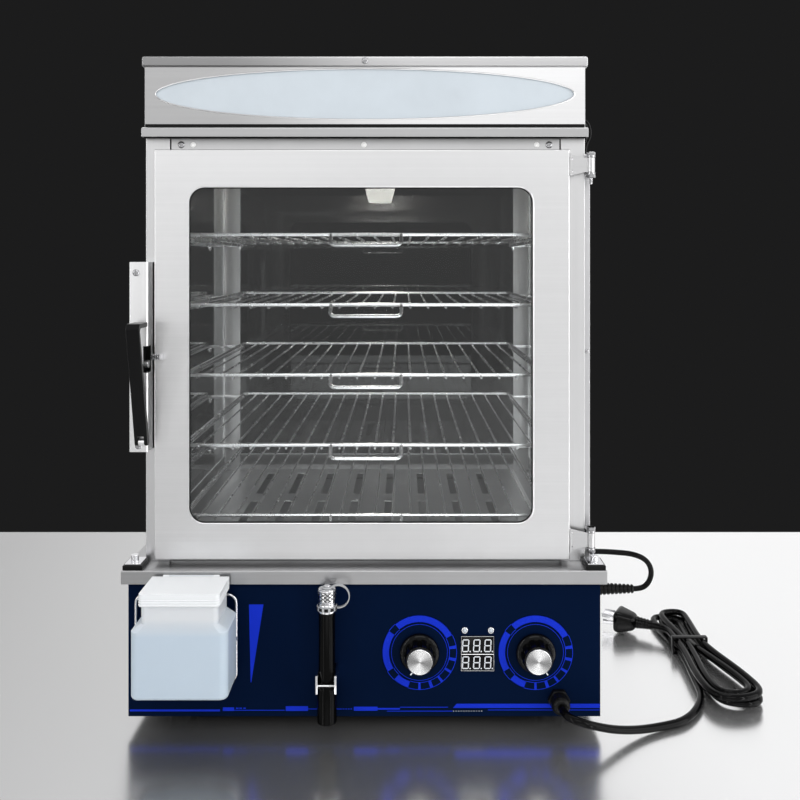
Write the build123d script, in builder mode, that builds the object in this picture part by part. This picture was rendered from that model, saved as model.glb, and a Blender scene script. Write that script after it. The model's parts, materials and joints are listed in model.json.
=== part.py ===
from build123d import *
import os
from math import atan2, cos, degrees, radians, sin, tan

# Dumpling steamer: a five-shelf glass cabinet on a water-heated base.
# Millimetres. +X to the right, +Y to the back, +Z up, floor at Z = 0.
# The origin is the middle of the footprint, without the mains lead.

os.makedirs("parts", exist_ok=True)

# Base: a sheet-metal box with a folded deck on top
sheet = 1.2
fold_radius = 1.5
cabinet_width = 458
cabinet_depth = 410
cabinet_setback = 30
post_size = 25
rim_margin = 17
rim_back_margin = 12
rim_height = 14
rim_overhang = 6
foot_height = 14
foot_radius = 15
foot_inset = 45
foot_taper = 8
deck_z = 164
panel_thickness = 1.5
tank_reach = 62

rim_width = cabinet_width + 2 * rim_margin
rim_depth = cabinet_setback + cabinet_depth + rim_back_margin
body_width = rim_width - 2 * rim_overhang
overall_depth = tank_reach - rim_overhang + rim_depth
front_y = -overall_depth / 2
panel_y = front_y + tank_reach
panel_back_y = panel_y + panel_thickness
rim_front_y = panel_y - rim_overhang
rim_back_y = rim_front_y + rim_depth
rim_mid_y = (rim_front_y + rim_back_y) / 2
body_back_y = rim_back_y - rim_overhang
wall_top_z = deck_z - sheet
half_cabinet = cabinet_width / 2
post_front_y = rim_front_y + cabinet_setback
cabinet_back_y = post_front_y + cabinet_depth
cabinet_mid_y = (post_front_y + cabinet_back_y) / 2

# Water basin under the cabinet
basin_side_gap = 12
basin_back_gap = 50
basin_depth = 80
basin_corner = 12
basin_flange = 9
controls_room = 84

basin_width = cabinet_width - 2 * (post_size + basin_side_gap)
basin_floor_z = deck_z - basin_depth
basin_front_y = panel_y + controls_room
basin_back_y = cabinet_back_y - basin_back_gap
basin_length = basin_back_y - basin_front_y
basin_mid_y = (basin_front_y + basin_back_y) / 2

# Steam baffle, an upturned tray of slots over the basin
baffle_lap = 7
baffle_height = 12
baffle_slot_width = 9
baffle_slot_length = 112
baffle_slot_pitch = 42
baffle_slots = 8

# Heating element, a U of tube
element_radius = 4
element_side_gap = 82
element_bend = 30
element_lift = 17
element_margin = 40
element_tail = 15

element_span = basin_width - 2 * element_side_gap

# Cabinet frame
post_sheet = 1.5
rail_height = 25
sill_height = 21
header_height = 39
glass_thickness = 4
glass_lap = 15
roof_top_z = 615
roof_cap_height = 10
roof_cap_clearance = 0.3

frame_top_z = roof_top_z - sheet
side_inner_x = half_cabinet - post_sheet

# Door
door_left_margin = 11.8
door_right_margin = 17.7
door_head_gap = 23
door_thickness = 10
door_gap = 2
door_lift = 5
stile_left = 35
stile_right = 37.1
window_radius = 17
window_sill = 37
window_head = 38
door_glass_lap = 12
gasket_edge = 2
gasket_play = 1
gasket_gap = 0.3

door_front_y = post_front_y - door_gap - door_thickness
door_back_y = door_front_y + door_thickness
door_bottom_z = deck_z + door_lift
door_top_z = roof_top_z - door_head_gap
door_height = door_top_z - door_bottom_z
door_left_x = -half_cabinet + door_left_margin
door_right_x = half_cabinet - door_right_margin
door_width = door_right_x - door_left_x
door_centre_x = (door_left_x + door_right_x) / 2
window_left_x = door_left_x + stile_left
window_right_x = door_right_x - stile_right
window_width = window_right_x - window_left_x
window_centre_x = (window_left_x + window_right_x) / 2
window_bottom_z = door_bottom_z + window_sill
window_height = door_top_z - window_head - window_bottom_z
window_middle_z = window_bottom_z + window_height / 2

# Door hinges: straps that turn on pins outboard of the right post
hinge_pin_radius = 2.5
hinge_clearance = 0.05
hinge_barrel_radius = 4
hinge_barrel_height = 15
hinge_strap_height = 23
hinge_strap_sheet = 2
hinge_reach = 5
hinge_ear_gap = 0.3
hinge_ear_sheet = 2
hinge_plate_depth = 9
hinge_nut_radius = 4.4
hinge_nut_height = 3.5
upper_hinge_drop = 15.5
lower_hinge_rise = 19.5

hinge_x = half_cabinet + hinge_reach
hinge_y = door_back_y - door_thickness / 2
hinge_heights = (door_bottom_z + lower_hinge_rise, door_top_z - upper_hinge_drop)

# Latch: housing on the left post, striker on the door, sprung pull lever
latch_width = 18.8
latch_height = 194
latch_depth = 21
latch_door_gap = 4.1
latch_rise = 113
notch_height = 27
notch_depth = 14
notch_width = 4.7
notch_bottom = 81
roller_radius = 4
lever_width = 13.2
lever_bar = 4.6
lever_rise = 122
lever_reach = 33
lever_hook = 30
lever_door_gap = 2.2
lever_pin_radius = 1.5
lever_pin_clearance = 0.05
lever_end_radius = 3.5
lever_end_gap = 0.3
lever_pivot_rise = 11
lever_slot = 6.4
lug_width = 6
striker_radius = 2.4
striker_reach = 1.8
striker_offset = 3.4
striker_block = 8

latch_bottom_z = door_bottom_z + latch_rise
latch_right_x = door_left_x - latch_door_gap
latch_left_x = latch_right_x - latch_width
latch_front_y = post_front_y - latch_depth
notch_bottom_z = latch_bottom_z + notch_bottom
striker_z = notch_bottom_z + notch_height / 2 + 2.2
lever_right_x = door_left_x - lever_door_gap
lever_mid_x = lever_right_x - lever_width / 2
lever_pivot_y = latch_front_y - lever_end_radius - lever_end_gap
lever_pivot_z = latch_bottom_z + lever_pivot_rise

# Five wire shelves on runners
shelf_count = 5
lowest_shelf_rise = 42
shelf_pitch = 74.8
shelf_side_gap = 33
shelf_front_gap = 24
shelf_back_gap = 13
shelf_rail_radius = 2
shelf_wire_radius = 1.3
shelf_wire_count = 20
shelf_wire_margin = 16.45
shelf_wire_nub = 1.2
shelf_weld = 0.35
shelf_handle_width = 75
shelf_handle_drop = 11.4
shelf_handle_slope = 14
shelf_handle_bend = 6
runner_radius = 2.5
runner_bend = 6
runner_gap = 0.3
runner_offset = 1.5
runner_end = 12

shelf_front_y = door_back_y + shelf_front_gap
shelf_back_y = cabinet_back_y - shelf_back_gap
shelf_levels = [deck_z + lowest_shelf_rise + shelf_pitch * n for n in range(shelf_count)]
shelf_half_width = half_cabinet - shelf_side_gap
shelf_wire_pitch = 2 * (shelf_half_width - shelf_wire_margin) / (shelf_wire_count - 1)
runner_x = shelf_half_width + runner_offset

# Ceiling lamp
lamp_base_radius = 32
lamp_base_height = 8
lamp_lens_radius = 27
lamp_lens_height = 28

# Sign box on the roof
sign_side_inset = 1.5
sign_depth = 110
sign_height = 73
sign_setback = 2.5
sign_lid_height = 10
sign_ellipse_margin = 11
sign_ellipse_height = 52.5
sign_ellipse_rise = 34.5
diffuser_thickness = 3
diffuser_lap = 4
light_bar_margin = 27.5
light_bar_height = 16
light_bar_depth = 10

sign_width = cabinet_width - 2 * sign_side_inset
sign_lid_width = sign_width + 2 * sign_setback
sign_ellipse_width = sign_width - 2 * sign_ellipse_margin
light_bar_width = sign_width - 2 * light_bar_margin
sign_front_y = door_front_y + sign_setback
sign_top_z = roof_top_z + sign_height
sign_wall_top_z = sign_top_z - sheet

# Controls on the front panel
dial_z = 79
dial_pitch = 118
thermostat_inset = 66
knob_skirt_radius = 20
knob_skirt_height = 5
knob_grip_radius = 14.5
knob_height = 22
knob_gap = 1
knob_taper = 4
knob_flutes = 10
knob_flute_radius = 3.4
knob_flute_offset = 4.4
knob_skirt_chamfer = 2
knob_cap_radius = 12.8
knob_cap_height = 1.4
spindle_radius = 3
spindle_clearance = 0.05
spindle_length = 22
bush_radius = 4.5
bush_clearance = 0.1
timer_body_size = 44
timer_body_depth = 38
thermostat_body_size = 40
thermostat_body_depth = 30
display_z = 78.3
display_width = 34
display_height = 35.5
display_proud = 1.5
display_lip = 1.5
display_depth = 14
lamp_offsets = (-13, 13.7)
lamp_z = 101.6
indicator_radius = 3.6
indicator_neck = 3
indicator_depth = 14
indicator_proud = 2.4

thermostat_x = body_width / 2 - thermostat_inset
timer_x = thermostat_x - dial_pitch
display_x = (timer_x + thermostat_x) / 2
lamp_x = (display_x + lamp_offsets[0], display_x + lamp_offsets[1])

# Drain: pipe from the basin, hose clipped upright, capped nozzle
hose_x = -36.5
hose_offset = 18
hose_radius = 9.75
hose_bore = 6.5
hose_top_z = 128
drain_z = 30
drain_radius = 7.5
drain_bend = 14
drain_setback = 30
drain_elbow_top_z = 42
drain_elbow_bottom_z = 18
drain_hole_clearance = 0.3
spigot_clearance = 0.1
spigot_length = 20
nozzle_flange_radius = 9
nozzle_flange_height = 8
nozzle_radius = 6
nozzle_length = 13
cap_radius = 8.8
cap_clearance = 0.1
cap_gap = 0.2
cap_height = 14.8
cap_wall = 1.7
cap_nub_radius = 3
cap_nub_height = 3.2
tether_width = 4
tether_sheet = 1
tether_gap = 0.3
tether_reach = 22.3
clip_z = 51
clip_height = 18
clip_sheet = 1.5
lug_sheet = 2.4
clip_wire_radius = 1
clip_clearance = 0.1

hose_y = panel_y - hose_offset
nozzle_top_z = hose_top_z + nozzle_flange_height + nozzle_length
cap_bottom_z = hose_top_z + nozzle_flange_height + cap_gap
cap_top_z = cap_bottom_z + cap_height

# Water tank with its flip lid
tank_side_inset = 66
tank_width = 93
tank_bottom_z = 59
tank_body_height = 65
tank_gap = 7.5
tank_corner = 8
tank_wall = 2
tank_shoulder = 7
tank_bottom_edge = 4
neck_width = 74
neck_depth = 48
neck_corner = 5
neck_height = 26.9
spout_rise = 35
spout_radius = 6
spout_bore = 4.5
spout_end = 3
tank_pad_width = 50
tank_pad_height = 9
tank_pad_rises = (7, 53)
lid_gap = 0.3
lid_sheet = 1.8
lid_skirt = 10
lid_corner = 4
lid_wall = 1.5
lid_hinge_radius = 1.9
lid_hinge_length = 44
lid_pin_radius = 0.9
lid_pin_clearance = 0.05
lid_pin_length = 5
lid_ear_length = 6

tank_x = -body_width / 2 + tank_side_inset
spout_z = tank_bottom_z + spout_rise
neck_top_z = tank_bottom_z + tank_body_height + tank_shoulder + neck_height
tank_depth = tank_reach - tank_gap
tank_back_y = panel_y - tank_gap
tank_mid_y = tank_back_y - tank_depth / 2
neck_back_y = tank_mid_y + neck_depth / 2
neck_front_y = tank_mid_y - neck_depth / 2
lid_top_z = neck_top_z + lid_gap + lid_sheet
lid_hinge_y = neck_back_y + lid_hinge_radius + 0.4
lid_hinge_z = lid_top_z - lid_sheet / 2 - 0.2

# Wire bracket round the tank
bracket_radius = 1.5
bracket_left_reach = 57
bracket_right_reach = 44.5
bracket_drop = 8
bracket_rise = 80.5
bracket_bend = 9
bracket_offset = 4
bracket_peg_radius = 2

bracket_left_x = tank_x - bracket_left_reach
bracket_right_x = tank_x + bracket_right_reach
bracket_bottom_z = tank_bottom_z - bracket_drop
bracket_top_z = tank_bottom_z + bracket_rise

# Corner clamps on the deck
clamp_width = 20
clamp_depth = 26
clamp_height = 4.6
clamp_edge = 1.2
clamp_plate_margin = 2
clamp_plate_sheet = 1.4
clamp_stud_radius = 4
clamp_stud_height = 7
clamp_stud_setback = 11

# Wiring outside the cabinet
duct_width = 16
duct_depth = 7.5
duct_sheet = 1
duct_setback = 10
duct_top_z = 590
lead_radius_sign = 1.6
lead_radius_lamp = 2.8
boot_z = 128.5
boot_length = 44
boot_flange_radius = 8
boot_flange_height = 4
boot_root_radius = 5.8
boot_tip_radius = 4.2

duct_y = post_front_y + duct_setback + duct_width / 2

# Mains lead
cord_radius = 4
gland_inset = 42.6
gland_z = 32
gland_hex_radius = 11.5
gland_hex_height = 6
gland_dome_radius = 9
gland_length = 20
gland_neck_radius = 8
gland_neck_length = 12
gland_clearance = 0.1
gland_dome_chamfer = 3

gland_x = body_width / 2 - gland_inset

# Hank: loops lie the same way round a tied waist
hank_x = 386.6
hank_y = -12.4
hank_front_turn = 6
hank_back_turn = -2
hank_front_length = 115
hank_back_length = 76
hank_front_lobe = 30
hank_back_lobe = 22
hank_step = 9.4
hank_waist_step = 9.9
hank_floor_gap = 2
hank_layer = 8.7
tie_sheet = 1.3
tie_width = 8
tie_gap = 0.5
tie_shift = 1.2

# Power board under the basin
board_x = 120
board_y = 40
board_width = 130
board_length = 90
board_sheet = 1.6
board_lift = 8
board_pillar = 7
relay_width = 28
relay_length = 32
relay_height = 26
relay_pitch = 40
relay_shift = 10
strip_margin = 15
strip_depth = 14
strip_height = 16
strip_inset = 12


# Base housing: left, back and right walls bent from one sheet, with vents in the back
housing_depth = body_back_y - panel_back_y
housing_mid_y = (body_back_y + panel_back_y) / 2
vent_width = 70
vent_height = 5
vent_pitch_x = 100
vent_pitch_z = 14
with BuildPart() as base_housing:
    with BuildSketch(Plane.XY.offset(foot_height)):
        with Locations((0, housing_mid_y)):
            Rectangle(body_width, housing_depth)
        with Locations((0, housing_mid_y - sheet)):
            Rectangle(body_width - 2 * sheet, housing_depth, mode=Mode.SUBTRACT)
    extrude(amount=wall_top_z - foot_height)
    with BuildSketch(Plane.XZ.offset(-body_back_y)):
        with Locations((0, (foot_height + wall_top_z) / 2)):
            with GridLocations(vent_pitch_x, vent_pitch_z, 2, 4):
                Rectangle(vent_width, vent_height)
    extrude(amount=sheet, mode=Mode.SUBTRACT)
base_housing.part.label = "base_housing"
export_step(base_housing.part, "parts/base_housing.step")

# Front panel with the holes for everything that passes through it
with BuildPart() as front_panel:
    with BuildSketch(Plane.XZ.offset(-panel_y)):
        with Locations((0, (foot_height + wall_top_z) / 2)):
            Rectangle(body_width, wall_top_z - foot_height)
        with Locations((timer_x, dial_z), (thermostat_x, dial_z)):
            Circle(bush_radius + bush_clearance, mode=Mode.SUBTRACT)
        with Locations((lamp_x[0], lamp_z), (lamp_x[1], lamp_z)):
            Circle(indicator_neck + bush_clearance, mode=Mode.SUBTRACT)
        with Locations((display_x, display_z)):
            Rectangle(
                display_width - 2 * display_lip,
                display_height - 2 * display_lip,
                mode=Mode.SUBTRACT,
            )
        with Locations((gland_x, gland_z)):
            Circle(gland_neck_radius + gland_clearance, mode=Mode.SUBTRACT)
        with Locations((hose_x, drain_z)):
            Circle(drain_radius + drain_hole_clearance, mode=Mode.SUBTRACT)
        with Locations((tank_x, spout_z)):
            Circle(spout_radius + drain_hole_clearance, mode=Mode.SUBTRACT)
    extrude(amount=-panel_thickness)
front_panel.part.label = "front_panel"
export_step(front_panel.part, "parts/front_panel.step")

# Bottom plate between the walls
with BuildPart() as bottom_plate:
    with BuildSketch(Plane.XY.offset(foot_height)):
        with Locations((0, housing_mid_y - sheet / 2)):
            Rectangle(body_width - 2 * sheet, housing_depth - sheet)
    extrude(amount=sheet)
bottom_plate.part.label = "bottom_plate"
export_step(bottom_plate.part, "parts/bottom_plate.step")

# Four rubber feet that widen towards the plate
with BuildPart() as feet:
    with BuildSketch(Plane.XY):
        with Locations((0, housing_mid_y)):
            with GridLocations(
                body_width - 2 * foot_inset, housing_depth - 2 * foot_inset, 2, 2
            ):
                Circle(foot_radius - foot_height * tan(radians(foot_taper)))
    extrude(amount=foot_height, taper=-foot_taper)
feet.part.label = "feet"
export_step(feet.part, "parts/feet.step")

# Deck: a tray turned upside down, open over the basin
with BuildPart() as deck:
    with BuildSketch(Plane.XY.offset(deck_z - rim_height)):
        with Locations((0, rim_mid_y)):
            Rectangle(rim_width, rim_depth)
            Rectangle(rim_width - 2 * sheet, rim_depth - 2 * sheet, mode=Mode.SUBTRACT)
    extrude(amount=rim_height)
    with BuildSketch(Plane.XY.offset(wall_top_z)):
        with Locations((0, rim_mid_y)):
            Rectangle(rim_width, rim_depth)
    extrude(amount=sheet)
    fillet(deck.faces().sort_by(Axis.Z)[-1].edges(), radius=fold_radius)
    with BuildSketch(Plane.XY.offset(wall_top_z)):
        with Locations((0, basin_mid_y)):
            RectangleRounded(
                basin_width - 2 * sheet,
                basin_length - 2 * sheet,
                basin_corner,
            )
    extrude(amount=sheet, mode=Mode.SUBTRACT)
deck.part.label = "deck"
export_step(deck.part, "parts/deck.step")

# Water basin hung under the deck by its flange
element_z = basin_floor_z + element_lift
with BuildPart() as water_basin:
    with BuildSketch(Plane.XY.offset(basin_floor_z)):
        with Locations((0, basin_mid_y)):
            RectangleRounded(basin_width, basin_length, basin_corner)
    extrude(amount=wall_top_z - basin_floor_z)
    with BuildSketch(Plane.XY.offset(wall_top_z - sheet)):
        with Locations((0, basin_mid_y)):
            Rectangle(basin_width + 2 * basin_flange, basin_length + 2 * basin_flange)
    extrude(amount=sheet)
    with BuildSketch(Plane.XY.offset(basin_floor_z + sheet)):
        with Locations((0, basin_mid_y)):
            RectangleRounded(basin_width - 2 * sheet, basin_length - 2 * sheet, basin_corner)
    extrude(amount=wall_top_z - basin_floor_z, mode=Mode.SUBTRACT)
    with BuildSketch(Plane.XY.offset(basin_floor_z)):
        with Locations((hose_x, basin_front_y + drain_setback)):
            Circle(drain_radius - cap_wall)
    extrude(amount=sheet, mode=Mode.SUBTRACT)
    with BuildSketch(Plane.XZ.offset(-basin_front_y)):
        with Locations((-element_span / 2, element_z), (element_span / 2, element_z)):
            Circle(element_radius + spigot_clearance)
        with Locations((tank_x, spout_z)):
            Circle(spout_radius + spigot_clearance)
    extrude(amount=-2.5 * sheet, mode=Mode.SUBTRACT)
water_basin.part.label = "water_basin"
export_step(water_basin.part, "parts/water_basin.step")

# Heating element, through the basin's front wall on both ends
with BuildPart() as heating_element:
    with BuildLine() as element_path:
        FilletPolyline(
            (-element_span / 2, basin_front_y - element_tail, element_z),
            (-element_span / 2, basin_back_y - element_margin, element_z),
            (element_span / 2, basin_back_y - element_margin, element_z),
            (element_span / 2, basin_front_y - element_tail, element_z),
            radius=element_bend,
        )
    with BuildSketch(Plane(origin=element_path.line @ 0, z_dir=element_path.line % 0)):
        Circle(element_radius)
    sweep(path=element_path.line)
heating_element.part.label = "heating_element"
export_step(heating_element.part, "parts/heating_element.step")

# Steam baffle, loose on the deck over the basin
baffle_width = basin_width + 2 * baffle_lap
baffle_length = basin_length + 2 * baffle_lap
with BuildPart() as steam_baffle:
    with BuildSketch(Plane.XY.offset(deck_z)):
        with Locations((0, basin_mid_y)):
            Rectangle(baffle_width, baffle_length)
            Rectangle(baffle_width - 2 * sheet, baffle_length - 2 * sheet, mode=Mode.SUBTRACT)
    extrude(amount=baffle_height)
    with BuildSketch(Plane.XY.offset(deck_z + baffle_height - sheet)):
        with Locations((0, basin_mid_y)):
            Rectangle(baffle_width, baffle_length)
            with GridLocations(
                baffle_slot_pitch, baffle_length / 2 - baffle_slot_width, baffle_slots, 2
            ):
                Rectangle(baffle_slot_width, baffle_slot_length, mode=Mode.SUBTRACT)
    extrude(amount=sheet)
steam_baffle.part.label = "steam_baffle"
export_step(steam_baffle.part, "parts/steam_baffle.step")

# Drain pipe: from the basin floor down and out through the panel to the hose's elbow
with BuildPart() as drain_pipe:
    with BuildLine() as drain_path:
        FilletPolyline(
            (hose_x, basin_front_y + drain_setback, basin_floor_z),
            (hose_x, basin_front_y + drain_setback, drain_z),
            (hose_x, hose_y, drain_z),
            radius=drain_bend,
        )
    with BuildSketch(Plane(origin=drain_path.line @ 0, z_dir=drain_path.line % 0)):
        Circle(drain_radius)
    sweep(path=drain_path.line)
    with BuildSketch(Plane.XY.offset(drain_elbow_bottom_z)):
        with Locations((hose_x, hose_y)):
            Circle(hose_radius)
    extrude(amount=drain_elbow_top_z - drain_elbow_bottom_z)
    with BuildSketch(Plane.XY.offset(drain_elbow_top_z)):
        with Locations((hose_x, hose_y)):
            Circle(hose_bore - spigot_clearance)
    extrude(amount=spigot_length)
drain_pipe.part.label = "drain_pipe"
export_step(drain_pipe.part, "parts/drain_pipe.step")

# Drain hose, standing on the elbow
with BuildPart() as drain_hose:
    with BuildSketch(Plane.XY.offset(drain_elbow_top_z)):
        with Locations((hose_x, hose_y)):
            Circle(hose_radius)
            Circle(hose_bore, mode=Mode.SUBTRACT)
    extrude(amount=hose_top_z - drain_elbow_top_z)
drain_hose.part.label = "drain_hose"
export_step(drain_hose.part, "parts/drain_hose.step")

# Nozzle pushed into the hose, with a flange and a neck for the cap
with BuildPart() as drain_nozzle:
    with BuildSketch(Plane.XY.offset(hose_top_z - spigot_length)):
        with Locations((hose_x, hose_y)):
            Circle(hose_bore - spigot_clearance)
    extrude(amount=spigot_length)
    with BuildSketch(Plane.XY.offset(hose_top_z)):
        with Locations((hose_x, hose_y)):
            Circle(nozzle_flange_radius)
    extrude(amount=nozzle_flange_height)
    with BuildSketch(Plane.XY.offset(hose_top_z + nozzle_flange_height)):
        with Locations((hose_x, hose_y)):
            Circle(nozzle_radius)
    extrude(amount=nozzle_length)
drain_nozzle.part.label = "drain_nozzle"
export_step(drain_nozzle.part, "parts/drain_nozzle.step")

# Screw cap with a nub on top that the tether's eye goes round
with BuildPart() as drain_cap:
    with BuildSketch(Plane.XY.offset(cap_bottom_z)):
        with Locations((hose_x, hose_y)):
            Circle(cap_radius)
    extrude(amount=cap_height)
    chamfer(drain_cap.edges().group_by(Axis.Z)[-1], length=1)
    with BuildSketch(Plane.XY.offset(cap_top_z)):
        with Locations((hose_x, hose_y)):
            Circle(cap_nub_radius)
    extrude(amount=cap_nub_height)
    with BuildSketch(Plane.XY.offset(cap_bottom_z)):
        with Locations((hose_x, hose_y)):
            Circle(nozzle_radius + cap_clearance)
    extrude(amount=nozzle_top_z + cap_gap - cap_bottom_z, mode=Mode.SUBTRACT)
drain_cap.part.label = "drain_cap"
export_step(drain_cap.part, "parts/drain_cap.step")

# Tether: an eye round the nub, a strap and a band round the nozzle's flange
tether_top_z = cap_top_z + tether_gap
tether_band_z = hose_top_z + nozzle_flange_height / 2
with BuildPart() as cap_tether:
    with BuildSketch(Plane.XY.offset(tether_top_z)):
        with Locations((hose_x, hose_y)):
            Circle(cap_nub_radius + tether_gap + tether_width / 2)
            Circle(cap_nub_radius + tether_gap, mode=Mode.SUBTRACT)
    extrude(amount=tether_sheet)
    with BuildSketch(Plane.XY.offset(tether_band_z - tether_width / 2)):
        with Locations((hose_x, hose_y)):
            Circle(nozzle_flange_radius + tether_sheet)
            Circle(nozzle_flange_radius, mode=Mode.SUBTRACT)
    extrude(amount=tether_width)
    with BuildLine(Plane.XZ.offset(-hose_y)) as tether_path:
        ThreePointArc(
            (hose_x + cap_nub_radius + tether_gap + tether_sheet, tether_top_z + tether_sheet / 2),
            (hose_x + tether_reach, tether_band_z + 0.55 * (tether_top_z - tether_band_z)),
            (hose_x + nozzle_flange_radius + tether_sheet / 2, tether_band_z),
        )
    with BuildSketch(
        Plane(origin=tether_path.line @ 0, x_dir=(0, 1, 0), z_dir=tether_path.line % 0)
    ):
        Rectangle(tether_width, tether_sheet)
    sweep(path=tether_path.line)
cap_tether.part.label = "cap_tether"
export_step(cap_tether.part, "parts/cap_tether.step")

# Hose clip: back plate, two lugs and a wire across the front
lug_inner = hose_radius + clip_clearance
clip_wire_y = hose_y - hose_radius - clip_wire_radius - clip_clearance
clip_front_y = clip_wire_y - 2 * clip_wire_radius
with BuildPart() as hose_clip:
    with BuildSketch(Plane.XY.offset(clip_z)):
        with Locations((hose_x, panel_y - clip_sheet / 2)):
            Rectangle(2 * (lug_inner + lug_sheet), clip_sheet)
        with Locations((hose_x, (panel_y + clip_front_y) / 2)):
            with GridLocations(2 * lug_inner + lug_sheet, 0, 2, 1):
                Rectangle(lug_sheet, panel_y - clip_front_y)
    extrude(amount=clip_height)
    with BuildSketch(Plane.YZ.offset(hose_x - lug_inner - lug_sheet / 2)):
        with Locations((clip_wire_y, clip_z + clip_height * 0.42)):
            Circle(clip_wire_radius)
    extrude(amount=2 * lug_inner + lug_sheet)
hose_clip.part.label = "hose_clip"
export_step(hose_clip.part, "parts/hose_clip.step")

# Timer and thermostat knobs, each moulded on its spindle, with a silver cap
knob_back_y = panel_y - knob_gap
knob_front_y = panel_y - knob_height
for knob_name, knob_x in (("timer_knob", timer_x), ("thermostat_knob", thermostat_x)):
    with BuildPart() as knob:
        with BuildSketch(Plane.XZ.offset(-knob_back_y)):
            with Locations((knob_x, dial_z)):
                Circle(knob_skirt_radius)
        extrude(amount=knob_skirt_height)
        chamfer(knob.faces().sort_by(Axis.Y)[0].edges(), length=knob_skirt_chamfer)
        with BuildSketch(Plane.XZ.offset(-knob_back_y)):
            with Locations((knob_x, dial_z)):
                Circle(knob_grip_radius + (knob_height - knob_gap) * tan(radians(knob_taper)))
                with PolarLocations(knob_grip_radius + knob_flute_offset, knob_flutes):
                    Circle(knob_flute_radius, mode=Mode.SUBTRACT)
        extrude(amount=knob_height - knob_gap, taper=knob_taper)
        with BuildSketch(Plane.XZ.offset(-knob_back_y)):
            with Locations((knob_x, dial_z)):
                Circle(spindle_radius)
        extrude(amount=-spindle_length)
    knob.part.label = knob_name
    export_step(knob.part, f"parts/{knob_name}.step")

    with BuildPart() as knob_cap:
        with BuildSketch(Plane.XZ.offset(-knob_front_y)):
            with Locations((knob_x, dial_z)):
                Circle(knob_cap_radius)
        extrude(amount=knob_cap_height)
        chamfer(knob_cap.faces().sort_by(Axis.Y)[0].edges(), length=0.5)
    knob_cap.part.label = f"{knob_name}_cap"
    export_step(knob_cap.part, f"parts/{knob_name}_cap.step")

# Timer and thermostat bodies behind the panel, each with a bush round its spindle
for body_name, body_x, size, depth in (
    ("timer_body", timer_x, timer_body_size, timer_body_depth),
    ("thermostat_body", thermostat_x, thermostat_body_size, thermostat_body_depth),
):
    with BuildPart() as switch_body:
        with BuildSketch(Plane.XZ.offset(-panel_back_y)):
            with Locations((body_x, dial_z)):
                Rectangle(size, size)
        extrude(amount=-depth)
        with BuildSketch(Plane.XZ.offset(-panel_y)):
            with Locations((body_x, dial_z)):
                Circle(bush_radius)
        extrude(amount=-panel_thickness)
        with BuildSketch(Plane.XZ.offset(-panel_y)):
            with Locations((body_x, dial_z)):
                Circle(spindle_radius + spindle_clearance)
        extrude(amount=-spindle_length, mode=Mode.SUBTRACT)
    switch_body.part.label = body_name
    export_step(switch_body.part, f"parts/{body_name}.step")

# Display module: a bezel on the panel and a body through the cut-out
with BuildPart() as display_module:
    with BuildSketch(Plane.XZ.offset(-panel_y)):
        with Locations((display_x, display_z)):
            Rectangle(display_width, display_height)
    extrude(amount=display_proud)
    with BuildSketch(Plane.XZ.offset(-panel_y)):
        with Locations((display_x, display_z)):
            Rectangle(
                display_width - 2 * display_lip - 2 * bush_clearance,
                display_height - 2 * display_lip - 2 * bush_clearance,
            )
    extrude(amount=-display_depth)
display_module.part.label = "display_module"
export_step(display_module.part, "parts/display_module.step")

# Two indicator lamps with coned bezels
with BuildPart() as indicator_lamps:
    with BuildSketch(Plane.XZ.offset(-panel_y)):
        with Locations((lamp_x[0], lamp_z), (lamp_x[1], lamp_z)):
            Circle(indicator_radius)
    extrude(amount=indicator_proud, taper=22)
    with BuildSketch(Plane.XZ.offset(-panel_y)):
        with Locations((lamp_x[0], lamp_z), (lamp_x[1], lamp_z)):
            Circle(indicator_neck)
    extrude(amount=-indicator_depth)
indicator_lamps.part.label = "indicator_lamps"
export_step(indicator_lamps.part, "parts/indicator_lamps.step")

# Power board on its pillars, with two relays and a terminal strip
board_z = foot_height + sheet + board_lift
with BuildPart() as power_board:
    with BuildSketch(Plane.XY.offset(foot_height + sheet)):
        with Locations((board_x, board_y)):
            with GridLocations(board_width - 2 * board_pillar, board_length - 2 * board_pillar, 2, 2):
                Rectangle(board_pillar, board_pillar)
    extrude(amount=board_lift)
    with BuildSketch(Plane.XY.offset(board_z)):
        with Locations((board_x, board_y)):
            Rectangle(board_width, board_length)
    extrude(amount=board_sheet)
    with BuildSketch(Plane.XY.offset(board_z + board_sheet)):
        with Locations((board_x, board_y + relay_shift)):
            with GridLocations(relay_pitch, 0, 2, 1):
                Rectangle(relay_width, relay_length)
    extrude(amount=relay_height)
    with BuildSketch(Plane.XY.offset(board_z + board_sheet)):
        with Locations((board_x, board_y - board_length / 2 + strip_inset)):
            Rectangle(board_width - 2 * strip_margin, strip_depth)
    extrude(amount=strip_height)
power_board.part.label = "power_board"
export_step(power_board.part, "parts/power_board.step")

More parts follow.
